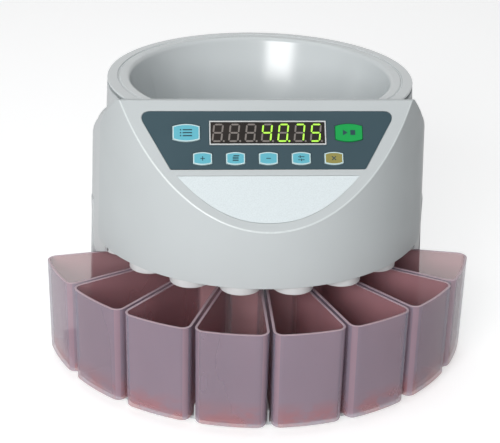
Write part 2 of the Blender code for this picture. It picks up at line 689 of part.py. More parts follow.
def build_upper_housing():
    """The rear shell of the head: shoulder, sloping deck and the neck under the hopper rim."""
    deck = HEAD_Z + SHOULDER_FOOT_HEIGHT + SHOULDER_RADIUS * math.sin(math.radians(SHOULDER_SWEEP))
    outer = [at_height(body_outline(draft_at(HEAD_Z)), HEAD_Z)] + shoulder_loops(0)
    outer += [neck_loop(NECK_FOOT_RADIUS, deck, True), neck_loop(RIM_RADIUS, NECK_TOP, False)]
    inner = [neck_loop(RIM_RADIUS - WALL, NECK_TOP, False)]
    inner += [neck_loop(NECK_FOOT_RADIUS - WALL, deck - WALL, True)]
    inner += shoulder_loops(WALL)[::-1]
    inner += [at_height(body_outline(draft_at(HEAD_Z) + WALL), HEAD_Z)]
    housing = add_piece("upper_housing", loft(outer + inner, ring=True), BODY_LOOK, STACK)
    reach = CUT_REACH
    edge = seam_profile(GAP)[:-1]
    front = [(-reach, HEAD_Z - OVERRUN), (-reach, RIM_TOP + OVERRUN), (edge[0][0], RIM_TOP + OVERRUN)]
    front += edge + [(GAP - SEAM_Y - SEAM_CORNER_RADIUS, HEAD_Z - OVERRUN)]
    combine(housing, add_guide("cover_zone", side_prism(front, reach), STACK), "DIFFERENCE")
    lower = parting_profile(0, HEAD_Z - OVERRUN, reach)
    combine(housing, add_guide("lower_zone", side_prism(lower, reach), STACK), "DIFFERENCE")
    return housing


def build_lower_housing():
    """The column behind the cups and the rear of the body, from the base up to the head."""
    loops = []
    for wall, heights in ((0, (FLOOR_Z, PARTING_Z)), (WALL, (PARTING_Z, FLOOR_Z))):
        for z in heights:
            loops.append(at_height(lower_outline(draft_at(z) + wall), z))
    housing = add_piece("lower_housing", loft(loops, ring=True), BODY_LOOK, STACK)
    profile = parting_profile(GAP, FLOOR_Z - OVERRUN, REAR_REACH + OVERRUN)
    zone = add_guide("under_head", side_prism(profile, CUT_REACH), STACK)
    combine(housing, zone, "INTERSECT")
    brows = add_guide("housing_brows", brow_shapes(), STACK)
    combine(brows, zone, "INTERSECT")
    combine(brows, add_guide("brow_foot", side_prism(brow_foot(), CUT_REACH), STACK), "DIFFERENCE")
    combine(housing, brows, "UNION")
    combine(housing, add_guide("head_seat", head_seat(), STACK), "DIFFERENCE")
    bosses = bmesh.new()
    bores = bmesh.new()
    for _, x, y in boss_places():
        prism(circle(BOSS_RADIUS, SMALL_ROUND_STEPS, (x, y)), FLOOR_Z, FLOOR_Z + BOSS_HEIGHT, bosses)
        bore = circle(SCREW_RADIUS + GAP, SMALL_ROUND_STEPS, (x, y))
        prism(bore, FLOOR_Z - OVERRUN, FLOOR_Z + SCREW_LENGTH, bores)
    combine(housing, add_guide("screw_bosses", bosses, STACK), "UNION")
    combine(housing, add_guide("boss_bores", bores, STACK), "DIFFERENCE")
    opening = prism(rectangle(REAR_PANEL_WIDTH - 2 * REAR_PANEL_LAND, REAR_PANEL_HEIGHT - 2 * REAR_PANEL_LAND,
                              (0, REAR_PANEL_CENTRE_Z)), -REAR_REACH - OVERRUN, -REAR_REACH / 2)
    turn = STACK @ Matrix.Rotation(math.radians(90), 4, "X")
    combine(housing, add_guide("rear_opening", opening, turn), "DIFFERENCE")
    return housing


def brow_foot():
    """Side outline of the space under the brows, whose foot rises towards the front."""
    low = FLOOR_Z + CUP_HEIGHT + BROW_CLEARANCE
    start = BROW_RISE_Y - OVERRUN / BROW_RISE_SLOPE
    rise = BROW_RISE_SLOPE * (CUT_REACH - start)
    return [(-start, low - OVERRUN), (-CUT_REACH, low - OVERRUN + rise), (-CUT_REACH, low - OVERRUN)]


def brow_shapes():
    """The two stretches of wall that run forward under the head, over the outermost cups."""
    shape = bmesh.new()
    outer = BODY_BASE_RADIUS - draft_at(HEAD_Z) - GAP
    inner = outer - BROW_WALL
    start = math.degrees(math.acos(BROW_FRONT_Y / outer))
    stop = (CUP_SECTOR_HALF_ANGLE + 90) / 2
    angles = [start + (stop - start) * i / 8 for i in range(9)]
    for side in (-1, 1):
        outline = [polar(outer, side * angle) for angle in angles]
        outline += [polar(inner, side * angle) for angle in reversed(angles)]
        prism(outline[::side], FLOOR_Z + CUP_HEIGHT + BROW_CLEARANCE, PARTING_Z + OVERRUN, shape)
    return shape


def head_bore(height):
    """Inner radius of the round front of the housings at a height."""
    return BODY_BASE_RADIUS - draft_at(height) - WALL


def chute_plate_radius():
    return head_bore(CHUTE_PLATE_TOP) - 2 * GAP


def head_seat():
    """The room that the chute plate and what stands on it take out of the lower housing."""
    narrow = head_bore(PARTING_Z) - GAP
    wide = chute_plate_radius() + GAP
    profile = [(0, HEAD_Z - GAP), (wide, HEAD_Z - GAP), (wide, CHUTE_PLATE_TOP + GAP),
               (narrow, CHUTE_PLATE_TOP + GAP), (narrow, PARTING_Z + OVERRUN), (0, PARTING_Z + OVERRUN)]
    return revolve(profile, ROUND_STEPS, closed=False)


def boss_places():
    """Names and plan points of the screw bosses, about the stack axis."""
    sunk = BOSS_RADIUS + WALL / 2
    front_x = BODY_BASE_RADIUS - sunk
    turn = math.radians(BOSS_REAR_ANGLE)
    rear_x = BODY_BASE_RADIUS - REAR_CORNER_RADIUS + (REAR_CORNER_RADIUS - sunk) * math.cos(turn)
    rear_y = REAR_REACH - REAR_CORNER_RADIUS + (REAR_CORNER_RADIUS - sunk) * math.sin(turn)
    return [("front_left", -front_x, BOSS_FRONT_Y), ("front_right", front_x, BOSS_FRONT_Y),
            ("rear_left", -rear_x, rear_y), ("rear_right", rear_x, rear_y)]


def foot_places():
    """Names and plan points of the feet, about the stack axis."""
    return [("foot_front_left", -FOOT_X, -FOOT_FRONT_Y), ("foot_front_right", FOOT_X, -FOOT_FRONT_Y),
            ("foot_rear_left", -FOOT_X, FOOT_REAR_Y), ("foot_rear_right", FOOT_X, FOOT_REAR_Y)]


def build_base():
    """The base plate with its ribs between the cups, its feet and the screws from below."""
    span = CUP_SECTOR_HALF_ANGLE
    fan = [polar(PLATE_FAN_RADIUS, -span + 2 * span * i / 36) for i in range(37)]
    right = [polar(BODY_BASE_RADIUS, span), polar(BODY_BASE_RADIUS, (span + 90) / 2)]
    left = [(-BODY_BASE_RADIUS, 0)] + [(-x, y) for x, y in reversed(right)]
    sheet = prism(fan + right + rear_outline(0) + left, PLATE_Z, PLATE_Z + PLATE_THICKNESS)
    plate = add_piece("base_plate", sheet, BODY_LOOK, STACK)
    ribs = bmesh.new()
    length = PLATE_FAN_RADIUS - RIB_INNER_RADIUS
    for index in range(CUP_COUNT + 1):
        angle = station_angles()[0] + CUP_PITCH * (index - 1 / 2)
        rib = prism(rectangle(RIB_THICKNESS, length, (0, -RIB_INNER_RADIUS - length / 2)),
                    PLATE_Z + PLATE_THICKNESS / 2, PLATE_Z + PLATE_THICKNESS + RIB_HEIGHT)
        append_turned(ribs, rib, angle)
    combine(plate, add_guide("cup_ribs", ribs, STACK), "UNION")
    bosses = bmesh.new()
    inset = 2 * STANDOFF_RADIUS
    board_corners = rectangle(POWER_BOARD_X - inset, POWER_BOARD_Y - inset, (0, POWER_BOARD_CENTRE_Y))
    for x, y in board_corners:
        outline = circle(STANDOFF_RADIUS, SMALL_ROUND_STEPS // 2, (x, y))
        prism(outline, PLATE_Z + PLATE_THICKNESS / 2, BOARD_Z - GAP, bosses)
    combine(plate, add_guide("board_standoffs", bosses, STACK), "UNION")
    holes = bmesh.new()
    for name, x, y in boss_places():
        prism(circle(SCREW_RADIUS + GAP, SMALL_ROUND_STEPS, (x, y)), 0, FLOOR_Z, holes)
        place = STACK @ Matrix.Translation((x, y, 0))
        screw = revolve(screw_profile(), SMALL_ROUND_STEPS // 2, closed=False)
        add_piece(f"base_screw_{name}", screw, STEEL_LOOK, place)
    combine(plate, add_guide("plate_holes", holes, STACK), "DIFFERENCE")
    for name, x, y in foot_places():
        profile = [(0, 0), (FOOT_RADIUS - FOOT_HEIGHT / 3, 0), (FOOT_RADIUS, FOOT_HEIGHT / 3),
                   (FOOT_RADIUS, FOOT_HEIGHT), (0, FOOT_HEIGHT)]
        place = STACK @ Matrix.Translation((x, y, 0))
        add_piece(name, revolve(profile, SMALL_ROUND_STEPS, closed=False), RUBBER_LOOK, place)


def screw_profile():
    """A pan-head screw from below, its head just under the base plate."""
    head_top = PLATE_Z - GAP
    head_low = head_top - SCREW_HEAD_HEIGHT
    tip = head_low + SCREW_LENGTH
    return [(0, head_low), (SCREW_HEAD_RADIUS, head_low), (SCREW_HEAD_RADIUS, head_top),
            (SCREW_RADIUS, head_top), (SCREW_RADIUS, tip), (0, tip)]


def append_turned(target, source, angle):
    """Turns a shape about the stack axis by an angle in degrees and moves it into another shape."""
    bmesh.ops.rotate(source, verts=source.verts, matrix=Matrix.Rotation(math.radians(angle), 3, "Z"))
    mesh = bpy.data.meshes.new("carrier")
    source.to_mesh(mesh)
    source.free()
    target.from_mesh(mesh)
    bpy.data.meshes.remove(mesh)


def build_cups():
    for number, angle in enumerate(station_angles(), start=1):
        floor = FLOOR_Z + CUP_WALL
        loops = [at_height(cup_outline(CUP_DRAFT), FLOOR_Z), at_height(cup_outline(0), FLOOR_Z + CUP_HEIGHT),
                 at_height(cup_outline(CUP_WALL), FLOOR_Z + CUP_HEIGHT),
                 at_height(cup_outline(CUP_WALL + CUP_DRAFT), floor)]
        add_piece(f"cup_{number}", loft(loops), CUP_LOOK, on_stack(angle))


def spout_loop(centre, radius, height):
    return at_height(circle(radius, SMALL_ROUND_STEPS, (0, -centre)), height)


def build_spouts():
    bend = CHUTE_PLATE_TOP + GAP
    top = RING_Z - GAP
    low = HEAD_Z - SPOUT_DROP
    inner = SPOUT_RADIUS - SPOUT_WALL
    route = [(SPOUT_CENTRE_RADIUS, low), (SPOUT_CENTRE_RADIUS, bend), (SPOUT_TOP_CENTRE_RADIUS, top)]
    loops = [spout_loop(centre, SPOUT_RADIUS, height) for centre, height in route]
    loops += [spout_loop(centre, inner, height) for centre, height in reversed(route)]
    for number, angle in enumerate(station_angles(), start=1):
        add_piece(f"spout_{number}", loft(loops, ring=True), SPOUT_LOOK, on_stack(angle))


def build_chute_plate():
    """The floor of the head: it stands on the column, holds the spouts in notches and carries the mechanism."""
    outer = chute_plate_radius()
    foot = COLUMN_RADIUS - WALL
    profile = [(CHUTE_PLATE_BORE, CHUTE_PLATE_Z), (foot, CHUTE_PLATE_Z), (foot, HEAD_Z),
               (COLUMN_RADIUS, HEAD_Z), (COLUMN_RADIUS, CHUTE_PLATE_Z), (outer, CHUTE_PLATE_Z),
               (outer, CHUTE_PLATE_TOP), (CHUTE_PLATE_BORE, CHUTE_PLATE_TOP)]
    plate = add_piece("chute_plate", revolve(profile, INNER_ROUND_STEPS), BODY_LOOK, STACK)
    holes = bmesh.new()
    for angle in station_angles():
        half = SPOUT_RADIUS + GAP
        outline = arc((0, -SPOUT_CENTRE_RADIUS), half, 0, 180, SMALL_ROUND_STEPS // 2)
        outline += [(-half, -outer - OVERRUN), (half, -outer - OVERRUN)]
        hole = prism(outline, CHUTE_PLATE_Z - OVERRUN, CHUTE_PLATE_TOP + OVERRUN)
        append_turned(holes, hole, angle)
    combine(plate, add_guide("spout_notches", holes, STACK), "DIFFERENCE")
    root = CHUTE_PLATE_Z + CHUTE_PLATE_THICKNESS / 2
    pillars = bmesh.new()
    for index in range(RING_POST_COUNT):
        angle = CUP_PITCH * RING_POST_GAPS * (index - (RING_POST_COUNT - 1) / 2)
        outline = circle(POST_RADIUS, SMALL_ROUND_STEPS // 2, polar(RING_POST_CIRCLE, angle))
        prism(outline, root, RING_Z - GAP, pillars)
    for index in range(GEAR_POST_COUNT):
        centre = polar(GEAR_POST_CIRCLE, 360 * (index + 1 / 2) / GEAR_POST_COUNT)
        prism(circle(POST_RADIUS, SMALL_ROUND_STEPS // 2, centre), root, GEAR_PLATE_Z - GAP, pillars)
    combine(plate, add_guide("plate_pillars", pillars, STACK), "UNION")


def build_sorting_ring():
    """The fixed track round the disc, with a hole for each coin size."""
    profile = [(RING_INNER_RADIUS, RING_Z), (RING_OUTER_RADIUS, RING_Z), (RING_OUTER_RADIUS, RING_TOP),
               (RING_INNER_RADIUS, RING_TOP)]
    ring = add_piece("sorting_ring", revolve(profile, INNER_ROUND_STEPS), STEEL_LOOK, STACK)
    holes = bmesh.new()
    for index, angle in enumerate(station_angles()):
        width = SMALLEST_COIN_HOLE + (LARGEST_COIN_HOLE - SMALLEST_COIN_HOLE) * index / (CUP_COUNT - 1)
        hole = prism(rectangle(COIN_HOLE_LENGTH, width, (0, -SPOUT_TOP_CENTRE_RADIUS)), RING_Z - OVERRUN,
                     RING_TOP + OVERRUN)
        append_turned(holes, hole, angle)
    combine(ring, add_guide("coin_holes", holes, STACK), "DIFFERENCE")


def build_hopper():
    """The coin bowl: a steep funnel with a broad rim, cut straight along the operator face."""
    half_groove = GROOVE_WIDTH / 2
    mouth_z = RIM_TOP - BOWL_LIP_DROP
    flange_z = RIM_EDGE_Z + WALL / 2
    outer_foot = BOWL_FLOOR_RADIUS + WALL
    skirt = RIM_RADIUS - WALL - GAP
    skirt_low = RIM_EDGE_Z - RIM_SKIRT_DEPTH
    outside = [(0, BOWL_Z), (outer_foot, BOWL_Z), (BOWL_MOUTH_RADIUS + WALL, flange_z),
               (skirt - WALL, flange_z), (skirt - WALL, skirt_low), (skirt, skirt_low), (skirt, RIM_EDGE_Z),
               (RIM_RADIUS - RIM_UNDERCUT, RIM_EDGE_Z), (RIM_RADIUS, RIM_TOP - RIM_ROUNDING),
               (RIM_RADIUS - RIM_ROUNDING, RIM_TOP), (GROOVE_RADIUS + half_groove, RIM_TOP),
               (GROOVE_RADIUS, RIM_TOP - GROOVE_DEPTH), (GROOVE_RADIUS - half_groove, RIM_TOP), (0, RIM_TOP)]
    bowl = add_piece("hopper_bowl", revolve(outside, ROUND_STEPS, closed=False), BOWL_LOOK, STACK)
    reach = CUT_REACH
    front = [(-reach, BOWL_Z - OVERRUN), (-BOWL_CHORD_Y - WALL, BOWL_Z - OVERRUN),
             (-BOWL_CHORD_Y - WALL, RIM_EDGE_Z), (-RIM_CHORD_Y, RIM_EDGE_Z),
             (-RIM_CHORD_Y, RIM_TOP + OVERRUN), (-reach, RIM_TOP + OVERRUN)]
    combine(bowl, add_guide("bowl_front_cut", side_prism(front, reach), STACK), "DIFFERENCE")
    cavity = [(0, BOWL_Z - OVERRUN), (BOWL_FLOOR_RADIUS, BOWL_Z - OVERRUN), (BOWL_FLOOR_RADIUS, BOWL_Z),
              (BOWL_MOUTH_RADIUS, mouth_z), (BOWL_MOUTH_RADIUS + BOWL_LIP_DROP, RIM_TOP),
              (BOWL_MOUTH_RADIUS + BOWL_LIP_DROP, RIM_TOP + OVERRUN), (0, RIM_TOP + OVERRUN)]
    inside = add_guide("bowl_cavity", revolve(cavity, ROUND_STEPS, closed=False), STACK)
    keep = rectangle(2 * reach, 2 * reach, (0, reach - BOWL_CHORD_Y))
    keep_shape = prism(keep, BOWL_Z - 2 * OVERRUN, RIM_TOP + 2 * OVERRUN)
    combine(inside, add_guide("bowl_chord", keep_shape, STACK), "INTERSECT")
    combine(bowl, inside, "DIFFERENCE")


def gear_outline(teeth):
    """A spur gear's plan with straight-sided teeth, one tooth middle on +X."""
    pitch_radius = GEAR_MODULE * teeth / 2
    tip = pitch_radius + GEAR_MODULE - GAP
    root = pitch_radius - GEAR_MODULE - GAP
    step = 2 * math.pi / teeth
    points = []
    for tooth in range(teeth):
        for share, radius in ((-TOOTH_ROOT_SHARE, root), (-TOOTH_TIP_SHARE, tip),
                              (TOOTH_TIP_SHARE, tip), (TOOTH_ROOT_SHARE, root)):
            turn = step * (tooth + share)
            points.append((radius * math.cos(turn), radius * math.sin(turn)))
    return points


def build_rotor():
    """What turns together: the shaft, the large gear, the feed disc, its cap and the sweeper."""
    bore = SHAFT_RADIUS + GAP
    floor = DISC_Z - DISC_HUB_DEPTH
    socket = DISC_TOP - DISC_THICKNESS / 3
    profile = [(0, socket), (bore, socket), (bore, floor), (DISC_HUB_RADIUS, floor),
               (DISC_HUB_RADIUS, DISC_Z), (DISC_RADIUS, DISC_Z), (DISC_RADIUS, DISC_TOP), (0, DISC_TOP)]
    disc = add_piece("feed_disc", revolve(profile, INNER_ROUND_STEPS, closed=False), STEEL_LOOK, STACK)
    bumps = bmesh.new()
    for index in range(DISC_BUMP_COUNT):
        centre = polar(DISC_BUMP_CIRCLE, 360 * index / DISC_BUMP_COUNT)
        prism(circle(DISC_BUMP_RADIUS, SMALL_ROUND_STEPS // 2, centre), DISC_TOP - DISC_BUMP_HEIGHT,
              DISC_TOP + DISC_BUMP_HEIGHT, bumps)
    combine(disc, add_guide("disc_bumps", bumps, STACK), "UNION")
    cap = [(0, SWEEPER_Z), (HUB_CAP_RADIUS, SWEEPER_Z)]
    for step in range(5):
        turn = math.pi / 2 * step / 4
        cap.append((HUB_CAP_RADIUS * math.cos(turn),
                    SWEEPER_Z + HUB_CAP_HEIGHT / 4 + HUB_CAP_HEIGHT * 3 / 4 * math.sin(turn)))
    cap[-1] = (0, SWEEPER_Z + HUB_CAP_HEIGHT)
    add_piece("disc_hub_cap", revolve(cap, SMALL_ROUND_STEPS, closed=False), DARK_PLASTIC_LOOK, STACK)
    shaft_low = GEAR_PLATE_Z - SHAFT_TAIL
    shaft_top = socket - GAP
    shaft = [(0, shaft_low), (SHAFT_RADIUS, shaft_low), (SHAFT_RADIUS, shaft_top), (0, shaft_top)]
    add_piece("disc_shaft", revolve(shaft, SMALL_ROUND_STEPS, closed=False), STEEL_LOOK, STACK)
    gear = prism(gear_outline(DRIVE_GEAR_TEETH), GEAR_Z, GEAR_Z + GEAR_THICKNESS)
    wheel = add_piece("drive_gear", gear, GEAR_LOOK, STACK @ Matrix.Rotation(math.radians(90), 4, "Z"))
    hole = prism(circle(bore, SMALL_ROUND_STEPS), GEAR_Z - OVERRUN, GEAR_Z + GEAR_THICKNESS + OVERRUN)
    combine(wheel, add_guide("gear_bore", hole, STACK), "DIFFERENCE")
    build_sweeper()


def build_sweeper():
    """A collar on the disc's edge whose vanes push the coins round the sorting ring."""
    top = SWEEPER_Z + SWEEPER_THICKNESS
    outer = SWEEPER_INNER_RADIUS + SWEEPER_COLLAR
    profile = [(SWEEPER_INNER_RADIUS, SWEEPER_Z), (outer, SWEEPER_Z), (outer, top),
               (SWEEPER_INNER_RADIUS, top)]
    sweeper = add_piece("sweeper", revolve(profile, INNER_ROUND_STEPS), DARK_PLASTIC_LOOK, STACK)
    vanes = bmesh.new()
    start = outer - SWEEPER_COLLAR / 2
    length = SWEEPER_VANE_RADIUS - start
    for index in range(SWEEPER_VANE_COUNT):
        vane = prism(rectangle(SWEEPER_VANE_WIDTH, length, (0, -start - length / 2)), SWEEPER_Z, top)
        append_turned(vanes, vane, 360 * (index + 1 / 2) / SWEEPER_VANE_COUNT)
    combine(sweeper, add_guide("sweeper_vanes", vanes, STACK), "UNION")


def motor_place():
    """The motor stands behind the shaft, at the gears' centre distance."""
    distance = GEAR_MODULE * (DRIVE_GEAR_TEETH + PINION_TEETH) / 2
    return STACK @ Matrix.Translation((0, distance, 0))


def build_drive():
    """The plate that carries bearing and motor, the motor under it and the pinion above."""
    distance = GEAR_MODULE * (DRIVE_GEAR_TEETH + PINION_TEETH) / 2
    outline = circle(GEAR_PLATE_RADIUS, INNER_ROUND_STEPS)
    plate = add_piece("gear_plate", prism(outline, GEAR_PLATE_Z, GEAR_PLATE_TOP), STEEL_LOOK, STACK)
    shaft_hole = circle(SHAFT_RADIUS + 2 * GAP, SMALL_ROUND_STEPS)
    holes = prism(shaft_hole, GEAR_PLATE_Z - OVERRUN, GEAR_PLATE_TOP + OVERRUN)
    motor_hole = circle(MOTOR_SHAFT_RADIUS + 2 * GAP, SMALL_ROUND_STEPS, (0, distance))
    prism(motor_hole, GEAR_PLATE_Z - OVERRUN, GEAR_PLATE_TOP + OVERRUN, holes)
    combine(plate, add_guide("gear_plate_holes", holes, STACK), "DIFFERENCE")
    bore = SHAFT_RADIUS + GAP
    low = GEAR_PLATE_TOP + GAP
    flange = low + BEARING_FLANGE_THICKNESS
    bearing = [(bore, low), (BEARING_FLANGE_RADIUS, low), (BEARING_FLANGE_RADIUS, flange),
               (BEARING_RADIUS, flange), (BEARING_RADIUS, BEARING_TOP), (bore, BEARING_TOP)]
    add_piece("bearing_block", revolve(bearing, SMALL_ROUND_STEPS), BRASS_LOOK, STACK)
    can_top = GEAR_PLATE_Z - GAP
    can_low = can_top - MOTOR_LENGTH
    can = [(0, can_low), (MOTOR_RADIUS, can_low), (MOTOR_RADIUS, can_top), (0, can_top)]
    add_piece("drive_motor", revolve(can, SMALL_ROUND_STEPS, closed=False), STEEL_LOOK, motor_place())
    gear_turn = Matrix.Rotation(math.radians(90) + math.pi / PINION_TEETH, 4, "Z")
    pinion = add_piece("motor_pinion", prism(gear_outline(PINION_TEETH), GEAR_Z, GEAR_Z + GEAR_THICKNESS),
                       BRASS_LOOK, motor_place() @ gear_turn)
    stem = prism(circle(MOTOR_SHAFT_RADIUS, SMALL_ROUND_STEPS), can_top + GAP, GEAR_Z + GEAR_THICKNESS / 2)
    combine(pinion, add_guide("pinion_shaft", stem, motor_place()), "UNION")


def build_face_parts():
    """Overlay, bare plate, display and keys on the operator face, and the board behind them."""
    thickness = RECESS_DEPTH - GAP
    skin = prism(overlay_outline(0), -thickness, SKIN_PROUD)
    overlay = add_piece("control_overlay", skin, OVERLAY_LOOK, FACE)
    combine(overlay, add_guide("overlay_openings", face_openings(0), FACE), "DIFFERENCE")
    add_piece("trim_plate", prism(trim_plate_outline(0), -thickness, SKIN_PROUD), TRIM_PLATE_LOOK, FACE)
    bezel = add_piece("display_bezel", prism(display_outline(-GAP), -WALL, DISPLAY_PROUD), FRAME_LOOK, FACE)
    frame = prism(display_outline(-DISPLAY_FRAME_WIDTH), -WALL - OVERRUN, DISPLAY_PROUD + OVERRUN)
    combine(bezel, add_guide("bezel_opening", frame, FACE), "DIFFERENCE")
    pane = display_outline(-DISPLAY_FRAME_WIDTH - GAP)
    window_top = DISPLAY_PROUD / 2
    window_low = window_top - WINDOW_THICKNESS
    add_piece("display_window", prism(pane, window_low, window_top), WINDOW_LOOK, FACE)
    add_piece("digit_display", prism(pane, GAP - KEY_BOARD_DEPTH, window_low - GAP), DIGIT_LOOK, FACE)
    for name, x, down, width, height, look in KEYS:
        build_key(name, x, down, width, height, look)
    build_key_board()


def build_key(name, x, down, width, height, look):
    """One key: a barrel-shaped cap with a flange behind the cover and a stem over its switch."""
    flange_top = -WALL - GAP
    flange_low = flange_top - KEY_FLANGE_THICKNESS
    bevel = KEY_PROUD / 2
    loops = [at_height(key_outline(width, height, 0), flange_low),
             at_height(key_outline(width, height, 0), KEY_PROUD - bevel),
             at_height(key_outline(width, height, -bevel), KEY_PROUD)]
    place = on_face(x, down)
    key = add_piece(name, loft(loops), look, place)
    grip = rectangle(width + 2 * KEY_FLANGE, height * KEY_END_SHARE)
    extra = prism(grip, flange_low, flange_top)
    combine(key, add_guide(f"{name}_flange", extra, place), "UNION")
    stem_low = SWITCH_HEIGHT + GAP + KEY_TRAVEL - KEY_BOARD_DEPTH
    stem_top = flange_low + KEY_FLANGE_THICKNESS / 2
    stem = prism(circle(KEY_STEM_RADIUS, SMALL_ROUND_STEPS // 2), stem_low, stem_top)
    combine(key, add_guide(f"{name}_stem", stem, place), "UNION")


def build_key_board():
    """The board behind the face, with one small switch under each key."""
    half = LARGE_KEY_X + LARGE_KEY_WIDTH / 2 + KEY_BOARD_MARGIN
    top = LARGE_KEY_CENTRE - LARGE_KEY_HEIGHT / 2 - KEY_BOARD_MARGIN
    bottom = SMALL_KEY_CENTRE + SMALL_KEY_HEIGHT / 2 + KEY_BOARD_MARGIN
    outline = rectangle(2 * half, bottom - top, (0, -(top + bottom) / 2))
    low = -KEY_BOARD_DEPTH - BOARD_THICKNESS
    board = add_piece("key_board", prism(outline, low, -KEY_BOARD_DEPTH), BOARD_LOOK, FACE)
    switches = bmesh.new()
    for _, x, down, _, _, _ in KEYS:
        prism(rectangle(SWITCH_SIZE, SWITCH_SIZE, (x, -down)), low + BOARD_THICKNESS / 2,
              SWITCH_HEIGHT - KEY_BOARD_DEPTH, switches)
    combine(board, add_guide("key_switches", switches, FACE), "UNION")


def build_sensor_board():
    """A curved board on the chute plate, with a coin sensor beside each spout."""
    low = CHUTE_PLATE_TOP + GAP
    top = low + BOARD_THICKNESS
    span = station_angles()[-1] + CUP_PITCH / 4
    outer = SPOUT_CENTRE_RADIUS - SPOUT_RADIUS - 2 * GAP
    inner = outer - SENSOR_BOARD_WIDTH
    points = [polar(outer, -span + 2 * span * i / 24) for i in range(25)]
    points += [polar(inner, span - 2 * span * i / 24) for i in range(25)]
    board = add_piece("sensor_board", prism(points, low, top), BOARD_LOOK, STACK)
    sensors = bmesh.new()
    for angle in station_angles():
        outline = rectangle(SENSOR_SIZE, SENSOR_SIZE, (0, SENSOR_SIZE - outer))
        block = prism(outline, low + BOARD_THICKNESS / 2, top + SENSOR_HEIGHT)
        append_turned(sensors, block, angle)
    combine(board, add_guide("coin_sensors", sensors, STACK), "UNION")


def build_power_board():
    """The supply board with the transformer on it."""
    low = BOARD_Z
    centre = (0, POWER_BOARD_CENTRE_Y)
    outline = rectangle(POWER_BOARD_X, POWER_BOARD_Y, centre)
    add_piece("power_board", prism(outline, low, low + BOARD_THICKNESS), BOARD_LOOK, STACK)
    base = low + BOARD_THICKNESS + GAP
    spot = (-POWER_BOARD_X / 4, POWER_BOARD_CENTRE_Y)
    core = prism(rectangle(TRANSFORMER_X, TRANSFORMER_Y, spot), base, base + TRANSFORMER_HEIGHT)
    unit = add_piece("transformer", core, DARK_PLASTIC_LOOK, STACK)
    coil = rectangle(TRANSFORMER_X - 2 * CORE_LIP, TRANSFORMER_Y + 2 * CORE_LIP, spot)
    winding = prism(coil, base + CORE_LIP, base + TRANSFORMER_HEIGHT - CORE_LIP)
    combine(unit, add_guide("winding", winding, STACK), "UNION")


def rear_place(x):
    """A place on the rear panel's outer face, with local +Y up and +Z out towards the back."""
    setback = draft_at(REAR_PANEL_CENTRE_Z + REAR_PANEL_HEIGHT / 2) + WALL + GAP
    return (Matrix.Translation((x, AXIS_Y + REAR_REACH - setback, REAR_PANEL_CENTRE_Z))
            @ Matrix.Rotation(math.radians(180), 4, "Z") @ Matrix.Rotation(math.radians(90), 4, "X"))


def build_rear_panel():
    """The panel in the back with the mains inlet and the power switch."""
    sheet = prism(rectangle(REAR_PANEL_WIDTH, REAR_PANEL_HEIGHT), -REAR_PANEL_THICKNESS, 0)
    panel = add_piece("rear_panel", sheet, DARK_PLASTIC_LOOK, rear_place(0))
    cuts = prism(rectangle(INLET_WIDTH + 2 * GAP, INLET_HEIGHT + 2 * GAP, (-INLET_X, 0)),
                 -REAR_PANEL_THICKNESS - OVERRUN, OVERRUN)
    housing_width = ROCKER_WIDTH + 2 * (ROCKER_HOUSING_WALL + ROCKER_SIDE_CLEARANCE)
    housing_height = ROCKER_HEIGHT + 2 * (ROCKER_HOUSING_WALL + ROCKER_SIDE_CLEARANCE)
    prism(rectangle(housing_width + 2 * GAP, housing_height + 2 * GAP, (SWITCH_X, 0)),
          -REAR_PANEL_THICKNESS - OVERRUN, OVERRUN, cuts)
    combine(panel, add_guide("panel_openings", cuts, rear_place(0)), "DIFFERENCE")
    build_inlet()
    build_power_switch(housing_width, housing_height)


def build_inlet():
    """The mains inlet: a flanged socket with three flat pins."""
    place = rear_place(INLET_X)
    block = prism(rectangle(INLET_WIDTH, INLET_HEIGHT), -INLET_DEPTH, 2 * GAP)
    body = add_piece("power_inlet", block, DARK_PLASTIC_LOOK, place)
    flange = rectangle(INLET_WIDTH + 2 * INLET_FLANGE, INLET_HEIGHT + 2 * INLET_FLANGE)
    combine(body, add_guide("inlet_flange", prism(flange, GAP, GAP + INLET_FLANGE_THICKNESS), place), "UNION")
    socket = rounded(rectangle(INLET_WIDTH - 2 * INLET_WALL, INLET_HEIGHT - 2 * INLET_WALL),
                     [INLET_WALL, INLET_WALL, 2 * INLET_WALL, 2 * INLET_WALL], 3)
    hollow = prism(socket, -INLET_SOCKET_DEPTH, OVERRUN)
    combine(body, add_guide("inlet_socket", hollow, place), "DIFFERENCE")
    pins = bmesh.new()
    for place_share, drop_share in INLET_PIN_SHARES:
        x = place_share * INLET_PIN_PITCH
        y = drop_share * INLET_PIN_DROP
        prism(rectangle(INLET_PIN_WIDTH, INLET_PIN_THICKNESS, (x, y)), -INLET_SOCKET_DEPTH - INLET_WALL,
              -INLET_PIN_INSET, pins)
    combine(body, add_guide("inlet_pins", pins, place), "UNION")


